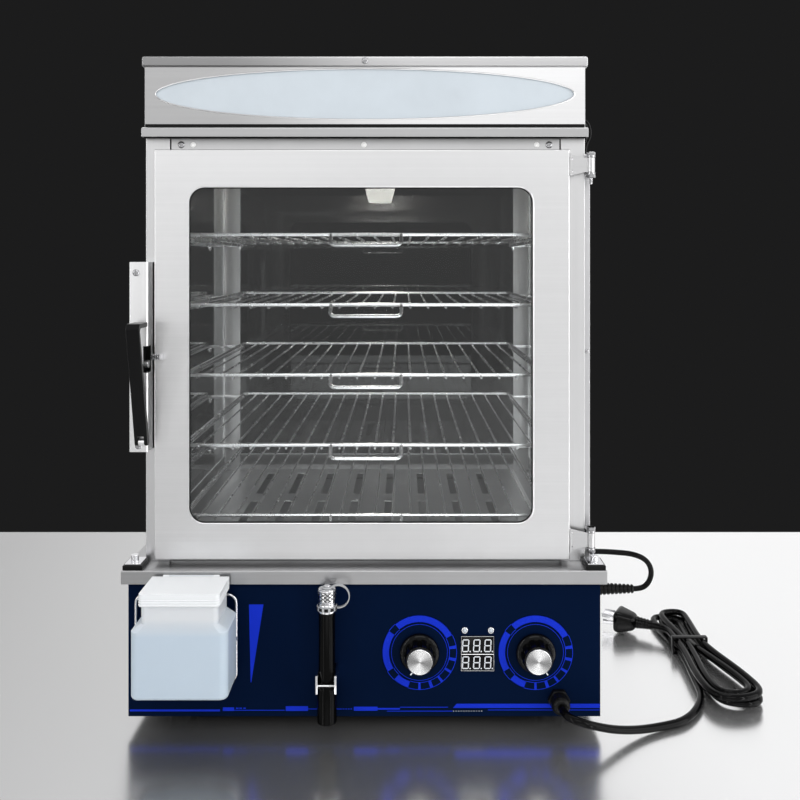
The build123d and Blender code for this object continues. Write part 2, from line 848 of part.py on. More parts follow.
# Water tank: rounded body, sloped shoulder and neck, open at the top,
# with a feed spout to the basin and two pads against the panel
shoulder_z = tank_bottom_z + tank_body_height
neck_bottom_z = shoulder_z + tank_shoulder
with BuildPart() as water_tank:
    with BuildSketch(Plane.XY.offset(tank_bottom_z)):
        with Locations((tank_x, tank_mid_y)):
            RectangleRounded(tank_width, tank_depth, tank_corner)
    extrude(amount=tank_body_height)
    fillet(water_tank.faces().sort_by(Axis.Z)[0].edges(), radius=tank_bottom_edge)
    with BuildSketch(Plane.XY.offset(shoulder_z)):
        with Locations((tank_x, tank_mid_y)):
            RectangleRounded(tank_width, tank_depth, tank_corner)
    with BuildSketch(Plane.XY.offset(neck_bottom_z)):
        with Locations((tank_x, tank_mid_y)):
            RectangleRounded(neck_width, neck_depth, neck_corner)
    loft()
    with BuildSketch(Plane.XY.offset(neck_bottom_z)):
        with Locations((tank_x, tank_mid_y)):
            RectangleRounded(neck_width, neck_depth, neck_corner)
    extrude(amount=neck_top_z - neck_bottom_z)
    with BuildSketch(Plane.XZ.offset(-(tank_back_y - tank_wall))):
        with Locations((tank_x, spout_z)):
            Circle(spout_radius)
    extrude(amount=-(basin_front_y + sheet + spout_end - tank_back_y + tank_wall))
    with BuildSketch(Plane.XZ.offset(-(tank_back_y - tank_wall))):
        for pad_rise in tank_pad_rises:
            with Locations((tank_x, tank_bottom_z + pad_rise)):
                Rectangle(tank_pad_width, tank_pad_height)
    extrude(amount=-(tank_gap + tank_wall))
    with BuildSketch(Plane.YZ.offset(tank_x - lid_hinge_length / 2)):
        with Locations((lid_hinge_y, lid_hinge_z)):
            Circle(lid_hinge_radius)
        with Locations((lid_hinge_y - 0.8, neck_top_z - 1.5)):
            Rectangle(4, 3)
    extrude(amount=lid_hinge_length)
    with BuildSketch(Plane.XY.offset(tank_bottom_z + tank_wall)):
        with Locations((tank_x, tank_mid_y)):
            RectangleRounded(
                tank_width - 2 * tank_wall, tank_depth - 2 * tank_wall, tank_corner - tank_wall
            )
    extrude(amount=tank_body_height - tank_wall, mode=Mode.SUBTRACT)
    with BuildSketch(Plane.XY.offset(shoulder_z)):
        with Locations((tank_x, tank_mid_y)):
            RectangleRounded(
                tank_width - 2 * tank_wall, tank_depth - 2 * tank_wall, tank_corner - tank_wall
            )
    with BuildSketch(Plane.XY.offset(neck_bottom_z)):
        with Locations((tank_x, tank_mid_y)):
            RectangleRounded(
                neck_width - 2 * tank_wall, neck_depth - 2 * tank_wall, neck_corner - tank_wall
            )
    loft(mode=Mode.SUBTRACT)
    with BuildSketch(Plane.XY.offset(neck_bottom_z)):
        with Locations((tank_x, tank_mid_y)):
            RectangleRounded(
                neck_width - 2 * tank_wall, neck_depth - 2 * tank_wall, neck_corner - tank_wall
            )
    extrude(amount=neck_top_z - neck_bottom_z + lid_gap, mode=Mode.SUBTRACT)
    with BuildSketch(Plane.XZ.offset(-(tank_back_y - 2 * tank_wall))):
        with Locations((tank_x, spout_z)):
            Circle(spout_bore)
    extrude(
        amount=-(basin_front_y + sheet + spout_end - tank_back_y + 2 * tank_wall),
        mode=Mode.SUBTRACT,
    )
    with BuildSketch(Plane.YZ.offset(tank_x - lid_hinge_length / 2)):
        with Locations((lid_hinge_y, lid_hinge_z)):
            Circle(lid_pin_radius + lid_pin_clearance)
    extrude(amount=lid_hinge_length, mode=Mode.SUBTRACT)
water_tank.part.label = "water_tank"
export_step(water_tank.part, "parts/water_tank.step")

# Flip lid: a top plate with a skirt on three sides and two ears with pins
lid_width = neck_width + 2 * (lid_gap + lid_wall)
lid_front_y = neck_front_y - lid_gap - lid_wall
lid_back_y = lid_hinge_y - lid_hinge_radius - lid_gap
lid_under_z = lid_top_z - lid_sheet
lid_depth = lid_back_y - lid_front_y
ear_x = lid_hinge_length / 2 + lid_gap
with BuildPart() as tank_lid:
    with BuildSketch(Plane.XY.offset(lid_under_z - lid_skirt)):
        with Locations((tank_x, (lid_front_y + lid_back_y) / 2)):
            Rectangle(lid_width, lid_depth)
        with Locations((tank_x, (lid_front_y + lid_back_y) / 2 + lid_wall)):
            Rectangle(lid_width - 2 * lid_wall, lid_depth, mode=Mode.SUBTRACT)
    extrude(amount=lid_skirt)
    with BuildSketch(Plane.XY.offset(lid_under_z)):
        with Locations((tank_x, (lid_front_y + lid_back_y) / 2)):
            Rectangle(lid_width, lid_depth)
    extrude(amount=lid_sheet)
    front_corners = (
        tank_lid.edges().filter_by(Axis.Z).filter_by_position(Axis.Y, lid_front_y - 1, lid_front_y + 0.1)
    )
    fillet(front_corners, radius=lid_corner)
    for side in (-1, 1):
        ear_start = tank_x + (ear_x if side > 0 else -ear_x - lid_ear_length)
        with BuildSketch(Plane.YZ.offset(ear_start)):
            with Locations((lid_hinge_y, lid_hinge_z)):
                Circle(lid_hinge_radius)
            with Locations(((lid_hinge_y + lid_back_y) / 2 - 1, lid_under_z + lid_sheet / 2)):
                Rectangle(lid_hinge_y - lid_back_y + 2, lid_sheet)
        extrude(amount=lid_ear_length)
        pin_start = tank_x + (ear_x - lid_pin_length if side > 0 else -ear_x)
        with BuildSketch(Plane.YZ.offset(pin_start)):
            with Locations((lid_hinge_y, lid_hinge_z)):
                Circle(lid_pin_radius)
        extrude(amount=lid_pin_length)
tank_lid.part.label = "tank_lid"
export_step(tank_lid.part, "parts/tank_lid.step")

# Wire bracket on the panel behind the tank, on two pegs
bracket_y = panel_y - bracket_offset
bracket_mid_z = (bracket_bottom_z + bracket_top_z) / 2
with BuildPart() as tank_bracket:
    for bend_z in (bracket_top_z, bracket_bottom_z):
        with BuildLine() as bracket_path:
            FilletPolyline(
                (bracket_left_x, bracket_y, bracket_mid_z),
                (bracket_left_x, bracket_y, bend_z),
                (bracket_right_x, bracket_y, bend_z),
                (bracket_right_x, bracket_y, bracket_mid_z),
                radius=bracket_bend,
            )
        with BuildSketch(Plane(origin=bracket_path.line @ 0, z_dir=bracket_path.line % 0)):
            Circle(bracket_radius)
        sweep(path=bracket_path.line)
    with BuildSketch(Plane.XZ.offset(-panel_y)):
        with Locations((bracket_left_x, bracket_mid_z), (bracket_right_x, bracket_mid_z)):
            Circle(bracket_peg_radius)
    extrude(amount=bracket_offset + bracket_peg_radius)
tank_bracket.part.label = "tank_bracket"
export_step(tank_bracket.part, "parts/tank_bracket.step")

# Corner clamps: pads on the deck at both front corners
clamp_x = rim_width / 2 - clamp_edge - clamp_width / 2
clamp_y = rim_front_y + clamp_edge + clamp_depth / 2
with BuildPart() as clamp_pads:
    with BuildSketch(Plane.XY.offset(deck_z)):
        with Locations((0, clamp_y)):
            with GridLocations(2 * clamp_x, 0, 2, 1):
                Rectangle(clamp_width, clamp_depth)
    extrude(amount=clamp_height)
clamp_pads.part.label = "clamp_pads"
export_step(clamp_pads.part, "parts/clamp_pads.step")

# Clamp plates with their thumb screws
with BuildPart() as clamp_screws:
    with BuildSketch(Plane.XY.offset(deck_z + clamp_height)):
        with Locations((0, clamp_y)):
            with GridLocations(2 * clamp_x, 0, 2, 1):
                Rectangle(
                    clamp_width - 2 * clamp_plate_margin, clamp_depth - 2 * clamp_plate_margin
                )
    extrude(amount=clamp_plate_sheet)
    with BuildSketch(Plane.XY.offset(deck_z + clamp_height + clamp_plate_sheet)):
        with Locations((0, rim_front_y + clamp_stud_setback)):
            with GridLocations(2 * clamp_x, 0, 2, 1):
                Circle(clamp_stud_radius)
    extrude(amount=clamp_stud_height)
    chamfer(clamp_screws.faces().sort_by(Axis.Z)[-1].edges(), length=1)
    chamfer(clamp_screws.faces().sort_by(Axis.Z)[-2].edges(), length=1)
clamp_screws.part.label = "clamp_screws"
export_step(clamp_screws.part, "parts/clamp_screws.step")

# Four corner posts of angle section
with BuildPart() as corner_posts:
    with BuildSketch(Plane.XY.offset(deck_z)):
        with Locations((0, cabinet_mid_y)):
            with GridLocations(
                cabinet_width - post_size, cabinet_depth - post_size, 2, 2
            ):
                Rectangle(post_size, post_size)
            Rectangle(
                cabinet_width - 2 * post_sheet,
                cabinet_depth - 2 * post_sheet,
                mode=Mode.SUBTRACT,
            )
    extrude(amount=frame_top_z - deck_z)
corner_posts.part.label = "corner_posts"
export_step(corner_posts.part, "parts/corner_posts.step")

# Rails: header and sill behind the front posts, and top and bottom rails on three sides
side_rail_length = cabinet_depth - 2 * post_size
back_rail_length = cabinet_width - 2 * post_size
with BuildPart() as frame_rails:
    with BuildSketch(Plane.XY.offset(deck_z)):
        with Locations((0, post_front_y + 1.5 * post_sheet)):
            Rectangle(2 * side_inner_x, post_sheet)
    extrude(amount=sill_height)
    with BuildSketch(Plane.XY.offset(frame_top_z - header_height)):
        with Locations((0, post_front_y + 1.5 * post_sheet)):
            Rectangle(2 * side_inner_x, post_sheet)
    extrude(amount=header_height)
    for rail_z in (deck_z, frame_top_z - rail_height):
        with BuildSketch(Plane.XY.offset(rail_z)):
            with Locations((0, cabinet_mid_y)):
                with GridLocations(cabinet_width - post_sheet, 0, 2, 1):
                    Rectangle(post_sheet, side_rail_length)
            with Locations((0, cabinet_back_y - post_sheet / 2)):
                Rectangle(back_rail_length, post_sheet)
        extrude(amount=rail_height)
frame_rails.part.label = "frame_rails"
export_step(frame_rails.part, "parts/frame_rails.step")

# Side and back panes, lapped inside the rails
pane_bottom_z = deck_z + rail_height - glass_lap
pane_height = frame_top_z - rail_height + glass_lap - pane_bottom_z
with BuildPart() as cabinet_glass:
    with BuildSketch(Plane.XY.offset(pane_bottom_z)):
        with Locations((0, cabinet_mid_y)):
            with GridLocations(2 * side_inner_x - glass_thickness, 0, 2, 1):
                Rectangle(glass_thickness, side_rail_length)
        with Locations((0, cabinet_back_y - post_sheet - glass_thickness / 2)):
            Rectangle(back_rail_length, glass_thickness)
    extrude(amount=pane_height)
cabinet_glass.part.label = "cabinet_glass"
export_step(cabinet_glass.part, "parts/cabinet_glass.step")

# Roof cap: a shallow tray turned down over the frame and over the door's top
roof_width = cabinet_width + 2 * (sheet + roof_cap_clearance)
roof_back_y = cabinet_back_y + sheet + roof_cap_clearance
roof_length = roof_back_y - door_front_y
with BuildPart() as roof_cap:
    with BuildSketch(Plane.XY.offset(roof_top_z - roof_cap_height)):
        with Locations((0, (door_front_y + roof_back_y) / 2)):
            Rectangle(roof_width, roof_length)
            Rectangle(roof_width - 2 * sheet, roof_length - 2 * sheet, mode=Mode.SUBTRACT)
    extrude(amount=roof_cap_height)
    with BuildSketch(Plane.XY.offset(frame_top_z)):
        with Locations((0, (door_front_y + roof_back_y) / 2)):
            Rectangle(roof_width, roof_length)
    extrude(amount=sheet)
    fillet(roof_cap.faces().sort_by(Axis.Z)[-1].edges(), radius=fold_radius)
roof_cap.part.label = "roof_cap"
export_step(roof_cap.part, "parts/roof_cap.step")

# Ceiling lamp: a round base with a coned lens under it
with BuildPart() as chamber_lamp:
    with BuildSketch(Plane.XY.offset(frame_top_z)):
        with Locations((0, cabinet_mid_y)):
            Circle(lamp_base_radius)
    extrude(amount=-lamp_base_height)
    with BuildSketch(Plane.XY.offset(frame_top_z - lamp_base_height)):
        with Locations((0, cabinet_mid_y)):
            Circle(lamp_lens_radius)
    extrude(amount=-lamp_lens_height, taper=15)
chamber_lamp.part.label = "chamber_lamp"
export_step(chamber_lamp.part, "parts/chamber_lamp.step")

# Runners: one bent rod on each side of each level, ends against the posts
runner_front_y = post_front_y + runner_end
runner_back_y = cabinet_back_y - runner_end
with BuildPart() as shelf_runners:
    for shelf_z in shelf_levels:
        runner_z = shelf_z - shelf_rail_radius - runner_gap - runner_radius
        for side in (-1, 1):
            with BuildLine() as runner_path:
                FilletPolyline(
                    (side * side_inner_x, runner_front_y, runner_z),
                    (side * runner_x, runner_front_y, runner_z),
                    (side * runner_x, runner_back_y, runner_z),
                    (side * side_inner_x, runner_back_y, runner_z),
                    radius=runner_bend,
                )
            with BuildSketch(Plane(origin=runner_path.line @ 0, z_dir=runner_path.line % 0)):
                RegularPolygon(runner_radius, 8, major_radius=False)
            sweep(path=runner_path.line)
shelf_runners.part.label = "shelf_runners"
export_step(shelf_runners.part, "parts/shelf_runners.step")

# Shelves: a rectangular frame of rod over long wires, with a pull handle on the front rod
shelf_depth = shelf_back_y - shelf_front_y
wire_drop = shelf_rail_radius + shelf_wire_radius - shelf_weld
for level, shelf_z in enumerate(shelf_levels, start=1):
    with BuildPart() as shelf:
        with BuildLine() as shelf_path:
            Polyline(
                (-shelf_half_width, shelf_front_y, shelf_z),
                (shelf_half_width, shelf_front_y, shelf_z),
                (shelf_half_width, shelf_back_y, shelf_z),
                (-shelf_half_width, shelf_back_y, shelf_z),
                close=True,
            )
        with BuildSketch(
            Plane(
                origin=(0, shelf_front_y, shelf_z),
                x_dir=(0, 1, 0),
                z_dir=(1, 0, 0),
            )
        ):
            RegularPolygon(shelf_rail_radius, 8, major_radius=False, rotation=22.5)
        sweep(path=shelf_path.line, transition=Transition.RIGHT)
        with BuildSketch(Plane.XZ.offset(-(shelf_front_y - shelf_rail_radius - shelf_wire_nub))):
            with Locations((0, shelf_z - wire_drop)):
                with GridLocations(shelf_wire_pitch, 0, shelf_wire_count, 1):
                    RegularPolygon(shelf_wire_radius, 6, major_radius=False, rotation=30)
        extrude(amount=-(shelf_depth + 2 * shelf_rail_radius + 2 * shelf_wire_nub))
        with BuildLine() as handle_path:
            FilletPolyline(
                (-shelf_handle_width / 2, shelf_front_y, shelf_z),
                (
                    -shelf_handle_width / 2,
                    shelf_front_y - shelf_handle_slope,
                    shelf_z - shelf_handle_drop,
                ),
                (
                    shelf_handle_width / 2,
                    shelf_front_y - shelf_handle_slope,
                    shelf_z - shelf_handle_drop,
                ),
                (shelf_handle_width / 2, shelf_front_y, shelf_z),
                radius=shelf_handle_bend,
            )
        with BuildSketch(Plane(origin=handle_path.line @ 0, z_dir=handle_path.line % 0)):
            RegularPolygon(shelf_rail_radius, 8, major_radius=False)
        sweep(path=handle_path.line)
    shelf.part.label = f"shelf_{level}"
    export_step(shelf.part, f"parts/shelf_{level}.step")

# Sign box: open-topped, with an elliptical opening in front
sign_mid_y = sign_front_y + sign_depth / 2
ellipse_z = roof_top_z + sign_ellipse_rise
with BuildPart() as sign_box:
    with BuildSketch(Plane.XY.offset(roof_top_z)):
        with Locations((0, sign_mid_y)):
            Rectangle(sign_width, sign_depth)
    extrude(amount=sign_wall_top_z - roof_top_z)
    with BuildSketch(Plane.XY.offset(roof_top_z + sheet)):
        with Locations((0, sign_mid_y)):
            Rectangle(sign_width - 2 * sheet, sign_depth - 2 * sheet)
    extrude(amount=sign_height, mode=Mode.SUBTRACT)
    with BuildSketch(Plane.XZ.offset(-sign_front_y)):
        with Locations((0, ellipse_z)):
            Ellipse(sign_ellipse_width / 2, sign_ellipse_height / 2)
    extrude(amount=-sheet, mode=Mode.SUBTRACT)
sign_box.part.label = "sign_box"
export_step(sign_box.part, "parts/sign_box.step")

# Diffuser plate behind the opening
with BuildPart() as sign_diffuser:
    with BuildSketch(Plane.XZ.offset(-(sign_front_y + sheet))):
        with Locations((0, ellipse_z)):
            Rectangle(sign_width - 4 * sheet, sign_ellipse_height + 2 * diffuser_lap)
    extrude(amount=-diffuser_thickness)
sign_diffuser.part.label = "sign_diffuser"
export_step(sign_diffuser.part, "parts/sign_diffuser.step")

# Light bar on the box's back wall
with BuildPart() as sign_light:
    with BuildSketch(Plane.XZ.offset(-(sign_front_y + sign_depth - sheet))):
        with Locations((0, ellipse_z)):
            Rectangle(light_bar_width, light_bar_height)
    extrude(amount=light_bar_depth)
sign_light.part.label = "sign_light"
export_step(sign_light.part, "parts/sign_light.step")

# Lid of the sign box, with a turned-down skirt
sign_lid_depth = sign_depth + 2 * sign_setback
with BuildPart() as sign_lid:
    with BuildSketch(Plane.XY.offset(sign_top_z - sign_lid_height)):
        with Locations((0, sign_mid_y)):
            Rectangle(sign_lid_width, sign_lid_depth)
            Rectangle(sign_lid_width - 2 * sheet, sign_lid_depth - 2 * sheet, mode=Mode.SUBTRACT)
    extrude(amount=sign_lid_height)
    with BuildSketch(Plane.XY.offset(sign_wall_top_z)):
        with Locations((0, sign_mid_y)):
            Rectangle(sign_lid_width, sign_lid_depth)
    extrude(amount=sheet)
    fillet(sign_lid.faces().sort_by(Axis.Z)[-1].edges(), radius=fold_radius)
sign_lid.part.label = "sign_lid"
export_step(sign_lid.part, "parts/sign_lid.step")

# Door frame: a folded pan with a round-cornered window
door_middle_z = door_bottom_z + door_height / 2
with BuildPart() as door_frame:
    with BuildSketch(Plane.XZ.offset(-door_front_y)):
        with Locations((door_centre_x, door_middle_z)):
            Rectangle(door_width, door_height)
    extrude(amount=-door_thickness)
    fillet(door_frame.faces().sort_by(Axis.Y)[0].edges(), radius=fold_radius)
    with BuildSketch(Plane.XZ.offset(-(door_front_y + sheet))):
        with Locations((door_centre_x, door_middle_z)):
            Rectangle(door_width - 2 * sheet, door_height - 2 * sheet)
    extrude(amount=-door_thickness, mode=Mode.SUBTRACT)
    with BuildSketch(Plane.XZ.offset(-door_front_y)):
        with Locations((window_centre_x, window_middle_z)):
            RectangleRounded(window_width, window_height, window_radius)
    extrude(amount=-sheet, mode=Mode.SUBTRACT)
door_frame.part.label = "door_frame"
export_step(door_frame.part, "parts/door_frame.step")

# Door glass behind the frame's face
with BuildPart() as door_glass:
    with BuildSketch(Plane.XZ.offset(-(door_front_y + sheet))):
        with Locations((window_centre_x, window_middle_z)):
            Rectangle(window_width + 2 * door_glass_lap, window_height + 2 * door_glass_lap)
    extrude(amount=-glass_thickness)
door_glass.part.label = "door_glass"
export_step(door_glass.part, "parts/door_glass.step")

# Door gasket round the glass, nearly touching the posts
gasket_depth = door_gap + door_thickness - sheet - gasket_gap
with BuildPart() as door_gasket:
    with BuildSketch(Plane.XZ.offset(-(door_front_y + sheet))):
        with Locations((door_centre_x, door_middle_z)):
            Rectangle(door_width - 2 * gasket_edge, door_height - 2 * gasket_edge)
        with Locations((window_centre_x, window_middle_z)):
            Rectangle(
                window_width + 2 * (door_glass_lap + gasket_play),
                window_height + 2 * (door_glass_lap + gasket_play),
                mode=Mode.SUBTRACT,
            )
    extrude(amount=-gasket_depth)
door_gasket.part.label = "door_gasket"
export_step(door_gasket.part, "parts/door_gasket.step")

# Hinge straps on the door, tapering to a barrel round the pin
strap_half = hinge_strap_height / 2
barrel_half = hinge_barrel_height / 2
strap_narrow_x = hinge_x - hinge_barrel_radius - hinge_strap_sheet
with BuildPart() as hinge_straps:
    for hinge_z in hinge_heights:
        with BuildSketch(Plane.XZ.offset(-(hinge_y - hinge_strap_sheet / 2))):
            with BuildLine():
                Polyline(
                    (door_right_x, hinge_z - strap_half),
                    (strap_narrow_x, hinge_z - barrel_half),
                    (hinge_x, hinge_z - barrel_half),
                    (hinge_x, hinge_z + barrel_half),
                    (strap_narrow_x, hinge_z + barrel_half),
                    (door_right_x, hinge_z + strap_half),
                    close=True,
                )
            make_face()
        extrude(amount=-hinge_strap_sheet)
        with BuildSketch(Plane.YZ.offset(door_right_x)):
            with Locations(((door_front_y + door_back_y) / 2, hinge_z)):
                Rectangle(door_thickness, hinge_strap_height)
        extrude(amount=hinge_strap_sheet)
        with BuildSketch(Plane.XY.offset(hinge_z - barrel_half)):
            with Locations((hinge_x, hinge_y)):
                Circle(hinge_barrel_radius)
        extrude(amount=hinge_barrel_height)
        with BuildSketch(Plane.XY.offset(hinge_z - barrel_half)):
            with Locations((hinge_x, hinge_y)):
                Circle(hinge_pin_radius + hinge_clearance)
        extrude(amount=hinge_barrel_height, mode=Mode.SUBTRACT)
hinge_straps.part.label = "hinge_straps"
export_step(hinge_straps.part, "parts/hinge_straps.step")

# Hinge brackets on the right post: a plate, two ears and the pin with its nuts
ear_front_y = hinge_y - hinge_nut_radius
plate_back_y = post_front_y + hinge_plate_depth
ear_offset = barrel_half + hinge_ear_gap
with BuildPart() as hinge_brackets:
    for hinge_z in hinge_heights:
        bracket_half = ear_offset + hinge_ear_sheet
        with BuildSketch(Plane.XY.offset(hinge_z - bracket_half)):
            with Locations((half_cabinet + hinge_ear_sheet / 2, (post_front_y + plate_back_y) / 2)):
                Rectangle(hinge_ear_sheet, hinge_plate_depth)
        extrude(amount=2 * bracket_half)
        for ear_z in (hinge_z - bracket_half, hinge_z + ear_offset):
            with BuildSketch(Plane.XY.offset(ear_z)):
                with Locations((hinge_x, hinge_y)):
                    Circle(hinge_nut_radius)
                with Locations((hinge_x - 0.3, (hinge_y + plate_back_y) / 2)):
                    Rectangle(2 * hinge_nut_radius - 0.6, plate_back_y - hinge_y)
            extrude(amount=hinge_ear_sheet)
        with BuildSketch(Plane.XY.offset(hinge_z - bracket_half - hinge_nut_height)):
            with Locations((hinge_x, hinge_y)):
                RegularPolygon(hinge_nut_radius, 6)
        extrude(amount=hinge_nut_height)
        with BuildSketch(Plane.XY.offset(hinge_z + bracket_half)):
            with Locations((hinge_x, hinge_y)):
                RegularPolygon(hinge_nut_radius, 6)
        extrude(amount=hinge_nut_height)
        with BuildSketch(Plane.XY.offset(hinge_z - bracket_half - hinge_nut_height)):
            with Locations((hinge_x, hinge_y)):
                Circle(hinge_pin_radius)
        extrude(amount=2 * bracket_half + 2 * hinge_nut_height)
hinge_brackets.part.label = "hinge_brackets"
export_step(hinge_brackets.part, "parts/hinge_brackets.step")

# Latch housing with its notch and roller, and a lug that carries the lever
with BuildPart() as latch_housing:
    with BuildSketch(Plane.XY.offset(latch_bottom_z)):
        with Locations(((latch_left_x + latch_right_x) / 2, (latch_front_y + post_front_y) / 2)):
            Rectangle(latch_width, latch_depth)
    extrude(amount=latch_height)
    chamfer(latch_housing.faces().sort_by(Axis.Y)[0].edges().filter_by(Axis.Z), length=1)
    with BuildSketch(Plane.XY.offset(notch_bottom_z)):
        with Locations((latch_right_x - notch_width / 2, latch_front_y + notch_depth / 2)):
            Rectangle(notch_width, notch_depth)
    extrude(amount=notch_height, mode=Mode.SUBTRACT)
    with BuildSketch(Plane.YZ.offset(latch_right_x - notch_width)):
        with Locations((latch_front_y + notch_depth - roller_radius - 1, notch_bottom_z + 8)):
            Circle(roller_radius)
    extrude(amount=notch_width - 1)
    with BuildSketch(Plane.YZ.offset(lever_mid_x - lug_width / 2)):
        with Locations((lever_pivot_y, lever_pivot_z)):
            Circle(lever_end_radius)
        with Locations(((lever_pivot_y + latch_front_y) / 2, lever_pivot_z)):
            Rectangle(latch_front_y - lever_pivot_y, 2 * lever_end_radius)
    extrude(amount=lug_width)
    with BuildSketch(Plane.YZ.offset(lever_mid_x - lug_width / 2)):
        with Locations((lever_pivot_y, lever_pivot_z)):
            Circle(lever_pin_radius + lever_pin_clearance)
    extrude(amount=lug_width, mode=Mode.SUBTRACT)
latch_housing.part.label = "latch_housing"
export_step(latch_housing.part, "parts/latch_housing.step")

# Pull lever: a bent bar, forked at its foot round the lug, hooked back at its top
lever_top_z = lever_pivot_z + lever_rise
lever_top_y = lever_pivot_y - lever_reach
with BuildPart() as latch_lever:
    with BuildSketch(Plane.YZ.offset(lever_right_x - lever_width)):
        with BuildLine():
            Polyline(
                (lever_pivot_y - lever_end_radius, lever_pivot_z),
                (lever_top_y, lever_top_z - 5),
                (lever_top_y + 3, lever_top_z),
                (lever_top_y + lever_hook, lever_top_z),
                (lever_top_y + lever_hook, lever_top_z - lever_bar),
                (lever_top_y + lever_bar + 2, lever_top_z - lever_bar),
                (lever_top_y + lever_bar, lever_top_z - lever_bar - 3),
                (lever_pivot_y + lever_end_radius, lever_pivot_z + 2),
                (lever_pivot_y + lever_end_radius, lever_pivot_z),
                close=True,
            )
        make_face()
        with Locations((lever_pivot_y, lever_pivot_z)):
            Circle(lever_end_radius)
    extrude(amount=lever_width)
    with BuildSketch(Plane.YZ.offset(lever_mid_x - lever_slot / 2)):
        with Locations((lever_pivot_y, lever_pivot_z)):
            Rectangle(4 * lever_end_radius, 2 * lever_end_radius + 6)
    extrude(amount=lever_slot, mode=Mode.SUBTRACT)
    with BuildSketch(Plane.YZ.offset(lever_right_x - lever_width + 1)):
        with Locations((lever_pivot_y, lever_pivot_z)):
            Circle(lever_pin_radius)
    extrude(amount=lever_width - 2)
latch_lever.part.label = "latch_lever"
export_step(latch_lever.part, "parts/latch_lever.step")

# Striker: a block on the door's face with a stud towards the housing
striker_y = door_front_y - striker_offset
with BuildPart() as striker:
    with BuildSketch(Plane.YZ.offset(door_left_x - striker_reach)):
        with Locations((striker_y, striker_z)):
            Circle(striker_radius)
    extrude(amount=striker_reach + striker_block)
    with BuildSketch(Plane.XZ.offset(-door_front_y)):
        with Locations((door_left_x + striker_block, striker_z)):
            Rectangle(4, 2 * striker_radius + 1)
    extrude(amount=striker_offset + striker_radius + 0.5)
striker.part.label = "striker"
export_step(striker.part, "parts/striker.step")

# Cable duct up the right side, a channel open to the post
with BuildPart() as cable_duct:
    with BuildSketch(Plane.XY.offset(deck_z)):
        with Locations((half_cabinet + duct_depth / 2, duct_y)):
            Rectangle(duct_depth, duct_width)
        with Locations((half_cabinet + (duct_depth - duct_sheet) / 2, duct_y)):
            Rectangle(duct_depth - duct_sheet, duct_width - 2 * duct_sheet, mode=Mode.SUBTRACT)
    extrude(amount=duct_top_z - deck_z)
cable_duct.part.label = "cable_duct"
export_step(cable_duct.part, "parts/cable_duct.step")


def tube_radii(points):
    """Arc radius at each inner point: 0.45 of the shorter run over the tangent of half the turn."""
    radii = []
    for before, here, after in zip(points, points[1:], points[2:]):
        run_in = Vector(*here) - Vector(*before)
        run_out = Vector(*after) - Vector(*here)
        turn = radians(run_in.get_angle(run_out))
        radii.append(0.45 * min(run_in.length, run_out.length) / tan(turn / 2))
    return radii


def report_tube(name, points, radii, tube_radius, solid, length):
    """Print the radii, and the volume over section times length."""
    section = 3.141592653589793 * tube_radius**2
    print(
        name,
        "length",
        round(length, 1),
        "least radius",
        round(min(radii), 1),
        "volume ratio",
        round(solid.volume / (section * length), 4),
    )


# Lead of the sign box: out of its side and into the duct's top
sign_lead_points = [
    (sign_width / 2, duct_y, roof_top_z + 12),
    (sign_width / 2 + 7.5, duct_y, roof_top_z + 12),
    (sign_width / 2 + 12, duct_y, roof_top_z - 3.5),
    (half_cabinet + duct_depth / 2, duct_y, duct_top_z + 9),
    (half_cabinet + duct_depth / 2, duct_y, duct_top_z),
]
# Lamp lead: out of the duct over the rim, down and back into its boot
boot_tip_x = body_width / 2 + boot_length
lamp_lead_points = [
    (half_cabinet + duct_depth, duct_y, deck_z + 4.2),
    (half_cabinet + duct_depth + 14, duct_y, deck_z + 4.2),
    (boot_tip_x - 17, duct_y - 1, deck_z + 3.5),
    (boot_tip_x, duct_y - 2, deck_z + 2.2),
    (boot_tip_x + 14, duct_y - 2, deck_z - 4),
    (boot_tip_x + 20, duct_y - 1, boot_z + 19),
    (boot_tip_x + 17, duct_y, boot_z + 6.5),
    (boot_tip_x + 9, duct_y, boot_z),
    (boot_tip_x, duct_y, boot_z),
]
with BuildPart() as lamp_leads:
    for lead_name, lead_points, lead_radius in (
        ("sign lead", sign_lead_points, lead_radius_sign),
        ("lamp lead", lamp_lead_points, lead_radius_lamp),
    ):
        lead_radii = tube_radii(lead_points)
        with BuildLine() as lead_path:
            FilletPolyline(*lead_points, radius=lead_radii)
        with BuildSketch(Plane(origin=lead_path.line @ 0, z_dir=lead_path.line % 0)):
            Circle(lead_radius)
        sweep(path=lead_path.line)
        print(lead_name, "radii", [round(r, 1) for r in lead_radii], round(lead_path.wire().length))
lamp_leads.part.label = "lamp_leads"
export_step(lamp_leads.part, "parts/lamp_leads.step")

# Strain relief of the lamp lead on the base's right wall
with BuildPart() as lamp_lead_boot:
    with BuildSketch(Plane.YZ.offset(body_width / 2)):
        with Locations((duct_y, boot_z)):
            Circle(boot_flange_radius)
    extrude(amount=boot_flange_height)
    with BuildSketch(Plane.YZ.offset(body_width / 2)):
        with Locations((duct_y, boot_z)):
            Circle(boot_root_radius)
    boot_taper = degrees(atan2(boot_root_radius - boot_tip_radius, boot_length))
    extrude(amount=boot_length, taper=boot_taper)
lamp_lead_boot.part.label = "lamp_lead_boot"
export_step(lamp_lead_boot.part, "parts/lamp_lead_boot.step")

